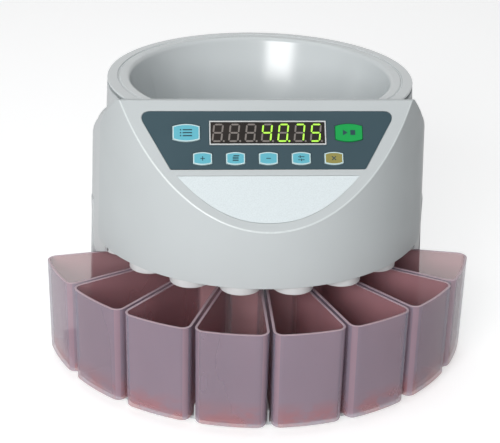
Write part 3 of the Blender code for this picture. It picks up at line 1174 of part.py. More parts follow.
def build_power_switch(width, height):
    """A rocker that tilts on a pin between the side walls of its housing."""
    place = rear_place(-SWITCH_X)
    block = prism(rectangle(width, height), -2 * ROCKER_DEPTH, 2 * GAP)
    case = add_piece("switch_case", block, DARK_PLASTIC_LOOK, place)
    flange = rectangle(width + 2 * ROCKER_HOUSING_WALL, height + 2 * ROCKER_HOUSING_WALL)
    combine(case, add_guide("switch_flange", prism(flange, GAP, GAP + ROCKER_HOUSING_WALL), place), "UNION")
    well = rectangle(ROCKER_WIDTH + 2 * ROCKER_SIDE_CLEARANCE, ROCKER_HEIGHT + 2 * ROCKER_SIDE_CLEARANCE)
    hollow = prism(well, -2 * ROCKER_DEPTH + ROCKER_HOUSING_WALL, OVERRUN)
    combine(case, add_guide("switch_well", hollow, place), "DIFFERENCE")
    across = Matrix.Rotation(math.radians(90), 4, "Y")
    sunk = place @ Matrix.Translation((0, 0, -ROCKER_DEPTH / 2)) @ across
    pin_half = ROCKER_WIDTH / 2 + ROCKER_SIDE_CLEARANCE + ROCKER_HOUSING_WALL / 2
    seat_radius = ROCKER_PIN_RADIUS + ROCKER_PIN_CLEARANCE
    seat = prism(circle(seat_radius, SMALL_ROUND_STEPS // 2), -pin_half - GAP, pin_half + GAP)
    combine(case, add_guide("switch_pin_seat", seat, sunk), "DIFFERENCE")
    rise = ROCKER_PROUD + ROCKER_DEPTH / 2
    half = ROCKER_HEIGHT / 2
    side = [(-half, -ROCKER_DEPTH / 4), (half, -ROCKER_DEPTH / 4), (half, rise), (0, rise - ROCKER_PROUD),
            (-half, rise)]
    tilt = Matrix.Rotation(math.radians(-ROCKER_ANGLE), 4, "X")
    rocker_place = place @ Matrix.Translation((0, 0, -ROCKER_DEPTH / 2)) @ tilt
    rocker = add_piece("switch_rocker", side_prism(side, ROCKER_WIDTH / 2), DARK_PLASTIC_LOOK, rocker_place)
    pin = prism(circle(ROCKER_PIN_RADIUS, SMALL_ROUND_STEPS // 2), -pin_half, pin_half)
    combine(rocker, add_guide("rocker_pin", pin, rocker_place @ across), "UNION")


def main():
    for item in list(bpy.data.objects):
        bpy.data.objects.remove(item, do_unlink=True)
    build_base()
    build_lower_housing()
    build_upper_housing()
    build_front_cover()
    build_face_parts()
    build_hopper()
    build_rotor()
    build_sorting_ring()
    build_chute_plate()
    build_spouts()
    build_cups()
    build_drive()
    build_sensor_board()
    build_power_board()
    build_rear_panel()


main()
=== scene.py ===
"""Looks of the coin counter: smooth shells, cups, display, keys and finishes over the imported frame.

Shapes are worked out in millimetres about the stack axis, then put in their place in metres.
"""

import math

import bmesh
import bpy
from bmesh.types import BMEdge, BMFace, BMVert
from mathutils import Matrix, Vector


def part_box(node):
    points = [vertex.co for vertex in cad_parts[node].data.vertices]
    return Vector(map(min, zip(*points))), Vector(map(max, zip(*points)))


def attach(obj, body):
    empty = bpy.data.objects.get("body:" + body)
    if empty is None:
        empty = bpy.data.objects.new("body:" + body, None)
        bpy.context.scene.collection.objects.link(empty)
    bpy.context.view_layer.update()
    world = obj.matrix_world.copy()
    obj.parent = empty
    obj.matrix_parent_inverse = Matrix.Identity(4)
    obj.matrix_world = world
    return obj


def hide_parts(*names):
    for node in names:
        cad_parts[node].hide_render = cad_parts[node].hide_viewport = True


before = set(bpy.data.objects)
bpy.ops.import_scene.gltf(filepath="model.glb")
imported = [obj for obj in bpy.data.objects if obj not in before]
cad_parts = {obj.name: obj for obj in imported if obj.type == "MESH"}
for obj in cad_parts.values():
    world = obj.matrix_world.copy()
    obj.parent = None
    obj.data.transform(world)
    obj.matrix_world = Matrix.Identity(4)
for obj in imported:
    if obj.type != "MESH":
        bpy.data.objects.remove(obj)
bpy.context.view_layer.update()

MM = 0.001

# Walls, play between pieces, and how far the cutting blocks reach, in millimetres
WALL = 2.5
GAP = 0.3
REACH = 190.0

# Steps round a full turn, of the front cover and of all else
COVER_STEPS = 240
AROUND = 192

# Heights and radii of the body, in millimetres
FLOOR_Z = 6.3
HEAD_Z = 104.3
FACE_TOP_Z = 231.3
BODY_RADIUS = 141.3
REAR_REACH = 152.5
REAR_CORNER = 62.0
DRAFT = 0.037
SEAM_Y = 43.0
SEAM_CORNER = 8.0
PARTING_Z = 130.3
PARTING_Y = 49.5
HEAD_CORNER = 26.0
SHOULDER_Z = 153.5
SHOULDER_RADIUS = 13.0
NECK_FOOT = 123.8
RIM_RADIUS = 122.3
RIM_TOP = 228.9
RIM_EDGE = 224.7
FACE_ANGLE = 52.4
FACE_TOP_Y = 73.3
FACE_ROUNDING = 1.7

# Levels clear of the head, the face and the rim
UNDER_HEAD = HEAD_Z - 8.0
OVER_FACE = FACE_TOP_Z + 4.0
OVER_RIM = RIM_TOP + 4.0

# The display, the keys, the cups and the spouts, in millimetres
DISPLAY_WIDTH = 86.0
DISPLAY_HEIGHT = 17.0
DISPLAY_DOWN = 25.7
KEY_TOP = 0.9
CUP_START = 79.0
CUP_REACH = 177.5
CUP_HEIGHT = 80.0
SPOUT_RADIUS = 16.0
SPOUT_OUT = 118.4
SPOUT_FOOT = 96.3

# The switch and the inlet on the rear panel, across from its middle
SWITCH_X = -24.0
INLET_X = 24.0

# Angles of the eight stations about the stack axis, from left to right
PITCH = 19.5
STATIONS = [-3.5 * PITCH + PITCH * index for index in range(8)]

axis_low, axis_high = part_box("feed_disc")
STACK = Matrix.Translation((0, (axis_low.y + axis_high.y) / 2, 0))
FACE = (STACK @ Matrix.Translation((0, -FACE_TOP_Y * MM, FACE_TOP_Z * MM))
        @ Matrix.Rotation(math.radians(FACE_ANGLE), 4, "X"))


# Finishes

def finish_for(name, colour, roughness, metallic=0.0):
    """A new finish with its shader, ready for grain and shade."""
    finish = bpy.data.materials.new(name)
    finish.use_nodes = True
    shader = finish.node_tree.nodes["Principled BSDF"]
    shader.inputs["Base Color"].default_value = (*colour, 1)
    shader.inputs["Roughness"].default_value = roughness
    shader.inputs["Metallic"].default_value = metallic
    return finish, shader


def placed(finish, pattern, location, stretch):
    """Puts a pattern on object coordinates, moved and squeezed along the axes."""
    place = finish.node_tree.nodes.new("ShaderNodeTexCoord")
    mapping = finish.node_tree.nodes.new("ShaderNodeMapping")
    mapping.inputs["Location"].default_value = location
    mapping.inputs["Scale"].default_value = stretch
    finish.node_tree.links.new(place.outputs["Object"], mapping.inputs["Vector"])
    finish.node_tree.links.new(mapping.outputs["Vector"], pattern.inputs["Vector"])


def noise(finish, scale, detail=2.0, stretch=(1, 1, 1)):
    """A noise pattern, scale in repeats per metre."""
    pattern = finish.node_tree.nodes.new("ShaderNodeTexNoise")
    pattern.inputs["Scale"].default_value = scale
    pattern.inputs["Detail"].default_value = detail
    placed(finish, pattern, (0, 0, 0), stretch)
    return pattern


def spread(finish, pattern, low, high, start=0.3, stop=0.7, output=0):
    """Maps a pattern to a range of values."""
    scale = finish.node_tree.nodes.new("ShaderNodeMapRange")
    scale.inputs["From Min"].default_value = start
    scale.inputs["From Max"].default_value = stop
    scale.inputs["To Min"].default_value = low
    scale.inputs["To Max"].default_value = high
    finish.node_tree.links.new(pattern.outputs[output], scale.inputs["Value"])
    return scale.outputs["Result"]


def uneven(finish, shader, pattern, low, high, start=0.3, stop=0.7):
    """Varies the roughness by a pattern."""
    finish.node_tree.links.new(spread(finish, pattern, low, high, start, stop), shader.inputs["Roughness"])


def tint(finish, shader, pattern, dark, light, start=0.3, stop=0.7):
    """Colours the finish between two shades by a pattern."""
    ramp = finish.node_tree.nodes.new("ShaderNodeValToRGB")
    for point, position, colour in zip(ramp.color_ramp.elements, (start, stop), (dark, light)):
        point.position = position
        point.color = (*colour, 1)
    finish.node_tree.links.new(pattern.outputs[0], ramp.inputs["Fac"])
    finish.node_tree.links.new(ramp.outputs["Color"], shader.inputs["Base Color"])


def grain(finish, shader, pattern, depth, strength=1.0):
    """Raises a pattern into fine relief, depth in millimetres."""
    bump = finish.node_tree.nodes.new("ShaderNodeBump")
    bump.inputs["Strength"].default_value = strength
    bump.inputs["Distance"].default_value = depth * MM
    finish.node_tree.links.new(pattern.outputs[0], bump.inputs["Height"])
    finish.node_tree.links.new(bump.outputs["Normal"], shader.inputs["Normal"])


def shade(colour, share):
    """A colour made darker or lighter, never more than white."""
    return tuple(min(1.0, channel * share) for channel in colour)


def maths(tree, operation, first, second):
    """A value worked out from two others."""
    step = tree.nodes.new("ShaderNodeMath")
    step.operation = operation
    tree.links.new(first, step.inputs[0])
    tree.links.new(second, step.inputs[1])
    return step.outputs[0]


def moulded(name, colour, roughness, grain_scale=900, grain_depth=0.03, variation=0.03, mirror=0.5):
    """Moulded plastic: fine spark-erosion grain, faint flow mottling, uneven gloss."""
    finish, shader = finish_for(name, colour, roughness)
    shader.inputs["Specular IOR Level"].default_value = mirror
    tint(finish, shader, noise(finish, 9, 3), shade(colour, 1 - variation), shade(colour, 1 + variation))
    uneven(finish, shader, noise(finish, 45, 4), roughness * 0.88, roughness * 1.12)
    grain(finish, shader, noise(finish, grain_scale, 2), grain_depth, 0.35)
    return finish


def brushed(name, colour, roughness, stretch):
    """Metal with fine lines along one direction."""
    finish, shader = finish_for(name, colour, roughness, 1.0)
    lines = noise(finish, 300, 3, stretch)
    tint(finish, shader, lines, shade(colour, 0.92), shade(colour, 1.08))
    uneven(finish, shader, lines, roughness * 0.8, roughness * 1.2)
    grain(finish, shader, lines, 0.01, 0.3)
    return finish


def foot_glow(finish, shader, warm):
    """Warm streaks low on the wall, where the cup's floor shows through."""
    nodes, links = finish.node_tree.nodes, finish.node_tree.links
    plain = shader.inputs["Base Color"].links[0].from_socket
    place = nodes.new("ShaderNodeTexCoord")
    parts = nodes.new("ShaderNodeSeparateXYZ")
    links.new(place.outputs["Object"], parts.inputs["Vector"])
    streak_foot, streak_top = 8 * MM, 30 * MM
    height = spread(finish, parts, 1.0, 0.0, streak_foot, streak_top, "Z")
    streaks = spread(finish, noise(finish, 55, 3, (1, 1, 1.6)), 0.2, 1.0, 0.40, 0.58)
    mix = nodes.new("ShaderNodeMix")
    mix.data_type = "RGBA"
    links.new(maths(finish.node_tree, "MULTIPLY", height, streaks), mix.inputs["Factor"])
    # Inputs 6 and 7 and output 2 of a mix node are its colours
    links.new(plain, mix.inputs[6])
    mix.inputs[7].default_value = (*warm, 1)
    links.new(mix.outputs[2], shader.inputs["Base Color"])


def cup_finish(name, colour, cover, roughness, warm=None):
    """Smoky translucent plastic: part of the light goes straight through."""
    finish, shader = finish_for(name, colour, roughness)
    flow = noise(finish, 14, 3, (1, 1, 0.35))
    tint(finish, shader, flow, shade(colour, 0.93), shade(colour, 1.07))
    if warm:
        foot_glow(finish, shader, warm)
    shader.inputs["Alpha"].default_value = cover
    shader.inputs["IOR"].default_value = 1.49
    grain(finish, shader, noise(finish, 60, 2), 0.05, 0.25)
    finish.surface_render_method = "BLENDED"
    return finish


# Moulded finishes: colour, roughness, then the grain's repeats per metre and its depth in millimetres
BODY = moulded("body_plastic", (0.595, 0.632, 0.640), 0.48, mirror=0.22)
# A glossier finish for the rounding along the face's lower edge; its lighter colour is a painted highlight
PAINTED_EDGE_HIGHLIGHT = moulded("glossy_edge_painted_highlight", (0.74, 0.785, 0.79), 0.26, 900, 0.01)
REAR = moulded("rear_plastic", (0.625, 0.652, 0.662), 0.45, mirror=0.4)
BOWL = moulded("bowl_plastic", (0.68, 0.72, 0.73), 0.20, 700, 0.006, mirror=0.7)
SPOUT = moulded("spout_plastic", (0.74, 0.755, 0.76), 0.36, 700, 0.02, 0.02)
CUP_OUT = cup_finish("cup_plastic", (0.39, 0.37, 0.48), 0.48, 0.26, (0.62, 0.26, 0.28))
CUP_IN = cup_finish("cup_inner", (0.56, 0.22, 0.22), 0.48, 0.24)
CUP_RIM = cup_finish("cup_rim", (0.60, 0.46, 0.52), 0.85, 0.25)
# A pinker, more opaque tint for the cups' round front corners: a painted highlight where the light catches
# them
CUP_CORNER_HIGHLIGHT = cup_finish("cup_corner_painted_highlight", (0.46, 0.35, 0.44), 0.56, 0.25)
SLATE = moulded("overlay_film", (0.046, 0.083, 0.101), 0.62, 1500, 0.015, 0.06, 0.25)
FRAME = moulded("display_frame", (0.72, 0.74, 0.74), 0.35, 900, 0.02)
CYAN = moulded("cyan_key", (0.14, 0.50, 0.61), 0.55, 900, 0.02, mirror=0.25)
GREEN = moulded("green_key", (0.010, 0.37, 0.080), 0.55, 900, 0.02, mirror=0.25)
KHAKI = moulded("khaki_key", (0.32, 0.285, 0.085), 0.55, 900, 0.02, mirror=0.25)
KEY_EDGE = moulded("key_edge", (0.60, 0.78, 0.80), 0.38, 900, 0.02)
INK = moulded("key_ink", (0.010, 0.045, 0.06), 0.7, 1500, 0.01)
BOARD = moulded("circuit_board", (0.02, 0.16, 0.07), 0.45, 500, 0.05, 0.2)
DARK = moulded("dark_plastic", (0.03, 0.03, 0.034), 0.45, 700, 0.03, 0.12)
PAINT = moulded("white_print", (0.78, 0.78, 0.76), 0.5, 1500, 0.01)
RUBBER = moulded("rubber", (0.022, 0.022, 0.022), 0.8, 400, 0.06, 0.15)
NYLON = moulded("gear_nylon", (0.78, 0.77, 0.70), 0.42, 500, 0.02)
STEEL = brushed("plain_steel", (0.56, 0.57, 0.58), 0.32, (1, 12, 1))
BRASS = brushed("turned_brass", (0.72, 0.53, 0.22), 0.28, (1, 1, 14))


def disc_finish():
    """Steel turned on a lathe, with rings about the stack axis."""
    finish, shader = finish_for("turned_steel", (0.46, 0.47, 0.48), 0.34, 1.0)
    rings = finish.node_tree.nodes.new("ShaderNodeTexWave")
    rings.wave_type = "RINGS"
    rings.rings_direction = "Z"
    rings.inputs["Scale"].default_value = 220
    rings.inputs["Distortion"].default_value = 1.2
    rings.inputs["Detail"].default_value = 3
    placed(finish, rings, (0, -STACK.translation.y, 0), (1, 1, 1))
    uneven(finish, shader, rings, 0.24, 0.40, 0, 1)
    tint(finish, shader, noise(finish, 30, 3), (0.42, 0.42, 0.43), (0.52, 0.53, 0.54))
    grain(finish, shader, rings, 0.01, 0.3)
    return finish


def plate_finish():
    """Pale silver film with a fine sparkle."""
    colour = (0.76, 0.83, 0.85)
    finish, shader = finish_for("silver_film", colour, 0.60)
    sparkle = noise(finish, 1400, 1)
    tint(finish, shader, sparkle, shade(colour, 0.96), shade(colour, 1.04), 0.35, 0.65)
    uneven(finish, shader, noise(finish, 900, 1), 0.5, 0.7)
    grain(finish, shader, sparkle, 0.01, 0.3)
    return finish


def window_finish():
    """Smoked window, nearly black, with a faint warm tone and fine dust."""
    finish, shader = finish_for("smoked_window", (0.022, 0.018, 0.016), 0.12)
    tint(finish, shader, noise(finish, 60, 4), (0.018, 0.015, 0.013), (0.030, 0.024, 0.021))
    shader.inputs["Specular IOR Level"].default_value = 0.2
    uneven(finish, shader, noise(finish, 350, 2), 0.08, 0.2)
    return finish


def segment_finish(name, colour, glow):
    """A display segment: a flat diffuser, lit from behind or dark."""
    finish, shader = finish_for(name, colour, 0.4)
    cells = noise(finish, 500, 1)
    tint(finish, shader, cells, shade(colour, 0.9), shade(colour, 1.1))
    shader.inputs["Emission Color"].default_value = (*colour, 1)
    shader.inputs["Emission Strength"].default_value = glow
    grain(finish, shader, cells, 0.01, 0.2)
    return finish


TURNED = disc_finish()
SILVER = plate_finish()
WINDOW = window_finish()
LIT = segment_finish("segment_lit", (0.40, 0.78, 0.07), 0.5)
UNLIT = segment_finish("segment_unlit", (0.21, 0.185, 0.17), 0.02)


# Making pieces

def of_kind(items, kind):
    """The vertices, edges or faces among what an operator made."""
    return [item for item in items if isinstance(item, kind)]


def face_out(shape):
    """Turns a shape's faces outwards."""
    bmesh.ops.recalc_face_normals(shape, faces=shape.faces)


def slab(points, low, high):
    """A straight block over a plan outline."""
    shape = bmesh.new()
    face = shape.faces.new([shape.verts.new((x, y, low)) for x, y in points])
    raised = bmesh.ops.extrude_face_region(shape, geom=[face])["geom"]
    bmesh.ops.translate(shape, verts=of_kind(raised, BMVert), vec=(0, 0, high - low))
    face_out(shape)
    return shape


def side_slab(points):
    """A block over a side outline of (y, z) points, wider than the body."""
    shape = slab(points, -REACH, REACH)
    turn = Matrix(((0, 0, 1, 0), (1, 0, 0, 0), (0, 1, 0, 0), (0, 0, 0, 1)))
    bmesh.ops.transform(shape, matrix=turn, verts=shape.verts)
    return shape


def turned(profile, closed=False, steps=AROUND, sweep=360.0, start=0.0):
    """A profile of (radius, height) points spun about the Z axis."""
    shape = bmesh.new()
    points = [shape.verts.new((radius, 0, height)) for radius, height in profile]
    pairs = list(zip(points, points[1:]))
    if closed:
        pairs.append((points[-1], points[0]))
    edges = [shape.edges.new(pair) for pair in pairs]
    bmesh.ops.rotate(shape, verts=points, matrix=Matrix.Rotation(math.radians(start), 3, "Z"))
    whole = sweep == 360.0
    bmesh.ops.spin(shape, geom=points + edges, axis=(0, 0, 1), cent=(0, 0, 0),
                   angle=math.radians(sweep), steps=steps, use_merge=whole)
    bmesh.ops.remove_doubles(shape, verts=shape.verts, dist=0.002)
    if not whole:
        bmesh.ops.holes_fill(shape, edges=[edge for edge in shape.edges if edge.is_boundary])
    face_out(shape)
    return shape


def slice_off(shape, point, normal):
    """Cuts away what lies beyond a plane, and closes the cut."""
    everything = shape.verts[:] + shape.edges[:] + shape.faces[:]
    cut = bmesh.ops.bisect_plane(shape, geom=everything, plane_co=point, plane_no=normal,
                                 clear_outer=True, dist=0.0005)
    bmesh.ops.contextual_create(shape, geom=of_kind(cut["geom_cut"], BMEdge))


def thicken(shape, wall):
    """Turns an open skin outwards and gives it a wall inwards."""
    face_out(shape)
    if sum(face.normal.x * face.calc_center_median().x for face in shape.faces) < 0:
        bmesh.ops.reverse_faces(shape, faces=shape.faces)
    bmesh.ops.solidify(shape, geom=shape.faces[:], thickness=wall)
    face_out(shape)


def handed_on(rim, known):
    """What is known of an old rim's points, for the points of the new rim that grew from it."""
    fresh = {}
    for vert in {vert for edge in rim for vert in edge.verts}:
        beside = [edge.other_vert(vert) for edge in vert.link_edges]
        fresh[vert] = next(known[other] for other in beside if other in known)
    return fresh


def lofted(levels):
    """A closed piece through plan outlines of one point count, each with its height and finish."""
    shape = bmesh.new()
    outline, height, finish = levels[0]
    verts = [shape.verts.new((x, y, height)) for x, y in outline]
    shape.faces.new(verts).material_index = finish
    rank = {vert: index for index, vert in enumerate(verts)}
    rim = shape.edges[:]
    for outline, height, finish in levels[1:]:
        grown = bmesh.ops.extrude_edge_only(shape, edges=rim)["geom"]
        rim = of_kind(grown, BMEdge)
        for face in of_kind(grown, BMFace):
            face.material_index = finish
        rank = handed_on(rim, rank)
        for vert, index in rank.items():
            vert.co = (outline[index][0], outline[index][1], height)
    for face in bmesh.ops.contextual_create(shape, geom=rim)["faces"]:
        face.material_index = finish
    face_out(shape)
    return shape


def add_in(target, source, place=Matrix.Identity(4)):
    """Moves one shape into another, which keeps both."""
    bmesh.ops.transform(source, matrix=place, verts=source.verts)
    carrier = bpy.data.meshes.new("carrier")
    source.to_mesh(carrier)
    source.free()
    target.from_mesh(carrier)
    bpy.data.meshes.remove(carrier)


def turn_by(angle, axis="Z"):
    """A turn about an axis, in degrees."""
    return Matrix.Rotation(math.radians(angle), 4, axis)


def block(name, shape, place=STACK):
    """Puts a shape in millimetres in its place as an object in metres."""
    bmesh.ops.transform(shape, matrix=place @ Matrix.Scale(MM, 4), verts=shape.verts)
    mesh = bpy.data.meshes.new(name)
    shape.to_mesh(mesh)
    shape.free()
    item = bpy.data.objects.new(name, mesh)
    bpy.context.scene.collection.objects.link(item)
    return item


def settle(item):
    """Applies what modifiers a piece has."""
    graph = bpy.context.evaluated_depsgraph_get()
    mesh = bpy.data.meshes.new_from_object(item.evaluated_get(graph))
    old = item.data
    item.modifiers.clear()
    item.data = mesh
    mesh.name = item.name
    bpy.data.meshes.remove(old)


def merge(item, tool, operation):
    """Works one piece with another, which is used up."""
    step = item.modifiers.new("carve", "BOOLEAN")
    step.object = tool
    step.operation = operation
    step.solver = "EXACT"
    settle(item)
    bpy.data.objects.remove(tool)


def carve(item, shape, operation="DIFFERENCE", place=STACK):
    """Cuts, joins or crosses a piece with a shape in millimetres."""
    merge(item, block("tool", shape, place), operation)


def soften(item, width, segments=3, angle=32.0):
    """Rounds the edges of a piece, width in millimetres."""
    step = item.modifiers.new("soften", "BEVEL")
    step.width = width * MM
    step.segments = segments
    step.limit_method = "ANGLE"
    step.angle_limit = math.radians(angle)
    step.use_clamp_overlap = True
    settle(item)


def smooth(item, angle):
    """Smooth shading with the sharp edges kept, flat faces staying flat."""
    mesh = item.data
    for face in mesh.polygons:
        face.use_smooth = True
    mesh.set_sharp_from_angle(angle=math.radians(angle))
    step = item.modifiers.new("weigh", "WEIGHTED_NORMAL")
    step.keep_sharp = True
    step.weight = 60
    settle(item)


def dress(item, finish, body="housing", stands_for=None, sharp=30.0):
    """Smooths a piece, gives it its finish and its body, and hides the node that it stands for."""
    smooth(item, sharp)
    if not isinstance(finish, list):
        finish = [finish]
    ranks = [face.material_index for face in item.data.polygons]
    item.data.materials.clear()
    for one in finish:
        item.data.materials.append(one)
    if len(finish) > 1:
        item.data.polygons.foreach_set("material_index", ranks)
    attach(item, body)
    if stands_for:
        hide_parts(stands_for)


# Body

def draft_at(height):
    """How far the body's side has drawn in at a height."""
    return DRAFT * (height - FLOOR_Z)


def cone_between(low, high, inset=0.0, steps=AROUND):
    """The round front of the body between two heights."""
    shape = bmesh.new()
    bmesh.ops.create_cone(shape, cap_ends=True, segments=steps, depth=high - low,
                          radius1=BODY_RADIUS - draft_at(low) - inset,
                          radius2=BODY_RADIUS - draft_at(high) - inset)
    bmesh.ops.translate(shape, verts=shape.verts, vec=(0, 0, (low + high) / 2))
    return shape


def body_plan():
    """A flat face in the body's plan: a round front and a rear with large round corners."""
    shape = bmesh.new()
    corners = [shape.verts.new((x, y, 0)) for x, y in
               ((-BODY_RADIUS, -BODY_RADIUS), (BODY_RADIUS, -BODY_RADIUS),
                (BODY_RADIUS, REAR_REACH), (-BODY_RADIUS, REAR_REACH))]
    shape.faces.new(corners)
    bmesh.ops.bevel(shape, geom=corners[2:], offset=REAR_CORNER, segments=24, profile=0.5,
                    affect="VERTICES", material=-1)
    front = [vert for vert in shape.verts if vert.co.y < 0]
    bmesh.ops.bevel(shape, geom=front, offset=BODY_RADIUS - 0.01, segments=AROUND // 4, profile=0.5,
                    affect="VERTICES", material=-1)
    bmesh.ops.remove_doubles(shape, verts=shape.verts, dist=0.1)
    long_edges = [edge for edge in shape.edges if edge.calc_length() > 40]
    bmesh.ops.subdivide_edges(shape, edges=long_edges, cuts=15)
    return shape


def drawn_in(x, y, inset):
    """A plan point of the body moved inwards, square to the outline."""
    if y <= 0:
        share = 1 - inset / BODY_RADIUS
        return x * share, y * share
    corner_x = BODY_RADIUS - REAR_CORNER
    corner_y = REAR_REACH - REAR_CORNER
    if y > corner_y and abs(x) > corner_x:
        centre = Vector((math.copysign(corner_x, x), corner_y))
        moved = centre + (Vector((x, y)) - centre) * (1 - inset / REAR_CORNER)
        return moved.x, moved.y
    if y >= REAR_REACH - 0.01:
        return x, y - inset
    return x - math.copysign(inset, x), y


def deck_rise(y):
    """Extra height of the shoulder, which climbs from the level rear deck to the seam."""
    slope, level_from = 0.6, 40.0
    return slope * max(0.0, level_from - max(y, -SEAM_Y - 4.0))


def round_corner(y, z, radius, steps):
    """A quarter turn of (y, z) points about a centre, from behind it to below it."""
    turns = [math.radians(-90 * step / steps) for step in range(steps + 1)]
    return [(y + radius * math.cos(turn), z + radius * math.sin(turn)) for turn in turns]


def seam_outline(offset):
    """Side outline behind the front cover's edge: its rounded top, then its round bottom corner."""
    top = [(-64.0 + offset, 225.3), (-51.0 + offset, 212.8), (-43.0 + offset, 202.3)]
    return top, round_corner(-SEAM_Y - SEAM_CORNER + offset, HEAD_Z + SEAM_CORNER, SEAM_CORNER, 8)


def parting_outline(low):
    """Side outline of the zone under the head, with the head's large round corner cut out."""
    corner = round_corner(-PARTING_Y, PARTING_Z, HEAD_CORNER, 16)
    return [(REACH, low), (REACH, PARTING_Z)] + corner + [(-REACH, HEAD_Z), (-REACH, low)]


def make_upper_housing():
    """The rear shell of the head, from the parting line over the shoulder to the neck."""
    shape = body_plan()
    rim = shape.edges[:]
    bmesh.ops.delete(shape, geom=shape.faces[:], context="FACES_ONLY")
    plan = {vert: (vert.co.x, vert.co.y) for vert in shape.verts}
    # Each level has its inset, its height, whether it climbs with the shoulder, and its radius if it is round
    levels = [(0, HEAD_Z - 2.0, False, None)]
    sweep = math.radians(62.0)
    for step in range(13):
        turn = sweep * step / 12
        levels.append(((1 - math.cos(turn)) * SHOULDER_RADIUS,
                       SHOULDER_Z + math.sin(turn) * SHOULDER_RADIUS, True, None))
    deck = SHOULDER_Z + SHOULDER_RADIUS * math.sin(sweep)
    levels += [(0, deck + 0.1, True, NECK_FOOT + 1.2), (0, deck + 0.5, True, NECK_FOOT + 0.4),
               (0, deck + 1.6, True, NECK_FOOT), (0, RIM_EDGE - GAP, False, RIM_RADIUS)]
    for level, (inset, height, rises, radius) in enumerate(levels):
        if level:
            grown = bmesh.ops.extrude_edge_only(shape, edges=rim)["geom"]
            rim = of_kind(grown, BMEdge)
            plan = handed_on(rim, plan)
        for vert, (x, y) in plan.items():
            if radius:
                share = radius / math.hypot(x, y)
                px, py = x * share, y * share
            else:
                start = draft_at(SHOULDER_Z + deck_rise(y)) if rises else draft_at(HEAD_Z)
                px, py = drawn_in(x, y, start + inset)
            vert.co = (px, py, height + (deck_rise(py) if rises else 0))
    thicken(shape, WALL)
    housing = block("rear_shell", shape)
    top, corner = seam_outline(GAP)
    above = RIM_TOP + 8
    zone = [(-REACH, UNDER_HEAD), (-REACH, above), (top[0][0], above)] + top + corner[:-1]
    zone += [(GAP - SEAM_Y - SEAM_CORNER, UNDER_HEAD)]
    carve(housing, side_slab(zone))
    carve(housing, side_slab(parting_outline(UNDER_HEAD)))
    soften(housing, 0.5, 2)
    dress(housing, REAR, stands_for="upper_housing")


def make_lower_housing():
    """The column behind the cups and the rear of the body: the node's own solid, its triangles joined."""
    source = bpy.data.objects["lower_housing"]
    shape = bmesh.new()
    shape.from_mesh(source.data)
    bmesh.ops.transform(shape, matrix=source.matrix_world, verts=shape.verts)
    bmesh.ops.remove_doubles(shape, verts=shape.verts, dist=0.01 * MM)
    bmesh.ops.dissolve_limit(shape, angle_limit=math.radians(0.4), verts=shape.verts, edges=shape.edges)
    bmesh.ops.scale(shape, vec=(1 / MM, 1 / MM, 1 / MM), verts=shape.verts)
    housing = block("lower_shell", shape, Matrix.Identity(4))
    soften(housing, 0.5, 2)
    dress(housing, REAR, stands_for="lower_housing")


def rounded_plan(points, radii, segments=12):
    """Plan points of a polygon whose corners are rounded by a vertex bevel."""
    shape = bmesh.new()
    corners = [shape.verts.new((x, y, 0)) for x, y in points]
    shape.faces.new(corners)
    spots = [corner.co.copy() for corner in corners]
    for spot, radius in zip(spots, radii):
        corner = min(shape.verts, key=lambda vert: (vert.co - spot).length)
        edges = [edge.other_vert(corner).co - corner.co for edge in corner.link_edges]
        offset = radius / math.tan(edges[0].angle(edges[1]) / 2)
        bmesh.ops.bevel(shape, geom=[corner], offset=offset, offset_type="OFFSET", segments=segments,
                        profile=0.5, affect="VERTICES", material=-1)
    outline = [(vert.co.x, vert.co.y) for vert in shape.faces[:][0].verts]
    shape.free()
    return outline


def overlay_plan(margin):
    """The control overlay: wide on top, narrower below."""
    top, low, wide, narrow = 8.7 - margin, 54.1 + margin, 98.1 + margin, 72.9 + margin
    return rounded_plan([(-wide, -top), (-narrow, -low), (narrow, -low), (wide, -top)], (6, 1.5, 1.5, 6))


def shield_plan(margin):
    """The bare plate: straight on top, with one long curve below."""
    half, top = 68.3 + margin, 59.3 - margin
    depth = 95.5 + margin - top
    shares = [index / 40 for index in range(-40, 41)]
    return [(half * share, -top - depth * (1 - abs(share) ** 2.2)) for share in shares]


def barrel_plan(width, height, margin, x=0.0, down=0.0):
    """A key's plan: straight ends and arched long sides."""
    half, tall = width / 2 + margin, height / 2 + margin
    shares = [index / 8 for index in range(-8, 9)]
    lower = [(half * share, -tall * (1 - 0.26 * share ** 2)) for share in shares]
    return [(px + x, py - down) for px, py in lower + [(px, -py) for px, py in reversed(lower)]]


def box_plan(width, height, x=0.0, y=0.0):
    """Plan points of a box about its middle."""
    return [(x - width / 2, y - height / 2), (x + width / 2, y - height / 2),
            (x + width / 2, y + height / 2), (x - width / 2, y + height / 2)]


def round_plan(radius, steps, x=0.0, y=0.0):
    """Plan points of a circle about its middle."""
    turns = [2 * math.pi * step / steps for step in range(steps)]
    return [(x + radius * math.cos(turn), y + radius * math.sin(turn)) for turn in turns]


def display_plan(margin):
    """Plan of the display's opening, made larger or smaller all round."""
    return box_plan(DISPLAY_WIDTH + 2 * margin, DISPLAY_HEIGHT + 2 * margin, 0, -DISPLAY_DOWN)


# Each key has its node, its place across and down the face, its width and height, its finish and its slot
KEYS = [("key_report", -61.2, 25.7, 20.6, 14.0, CYAN, "cyan_key"),
        ("key_start", 61.2, 25.7, 20.6, 14.0, GREEN, "green_key"),
        ("key_plus", -49.2, 45.8, 14.4, 10.2, CYAN, "cyan_key"),
        ("key_batch", -24.6, 45.8, 14.4, 10.2, CYAN, "cyan_key"),
        ("key_minus", 0.0, 45.8, 14.4, 10.2, CYAN, "cyan_key"),
        ("key_set", 24.6, 45.8, 14.4, 10.2, CYAN, "cyan_key"),
        ("key_clear", 49.2, 45.8, 14.4, 10.2, KHAKI, "khaki_key")]


def face_holes(margin, low, high):
    """Through holes for the display and the keys."""
    shape = slab(display_plan(1.2 + margin), low, high)
    for _, x, down, width, height, _, _ in KEYS:
        add_in(shape, slab(barrel_plan(width, height, 0.35 + margin, x, down), low, high))
    return shape


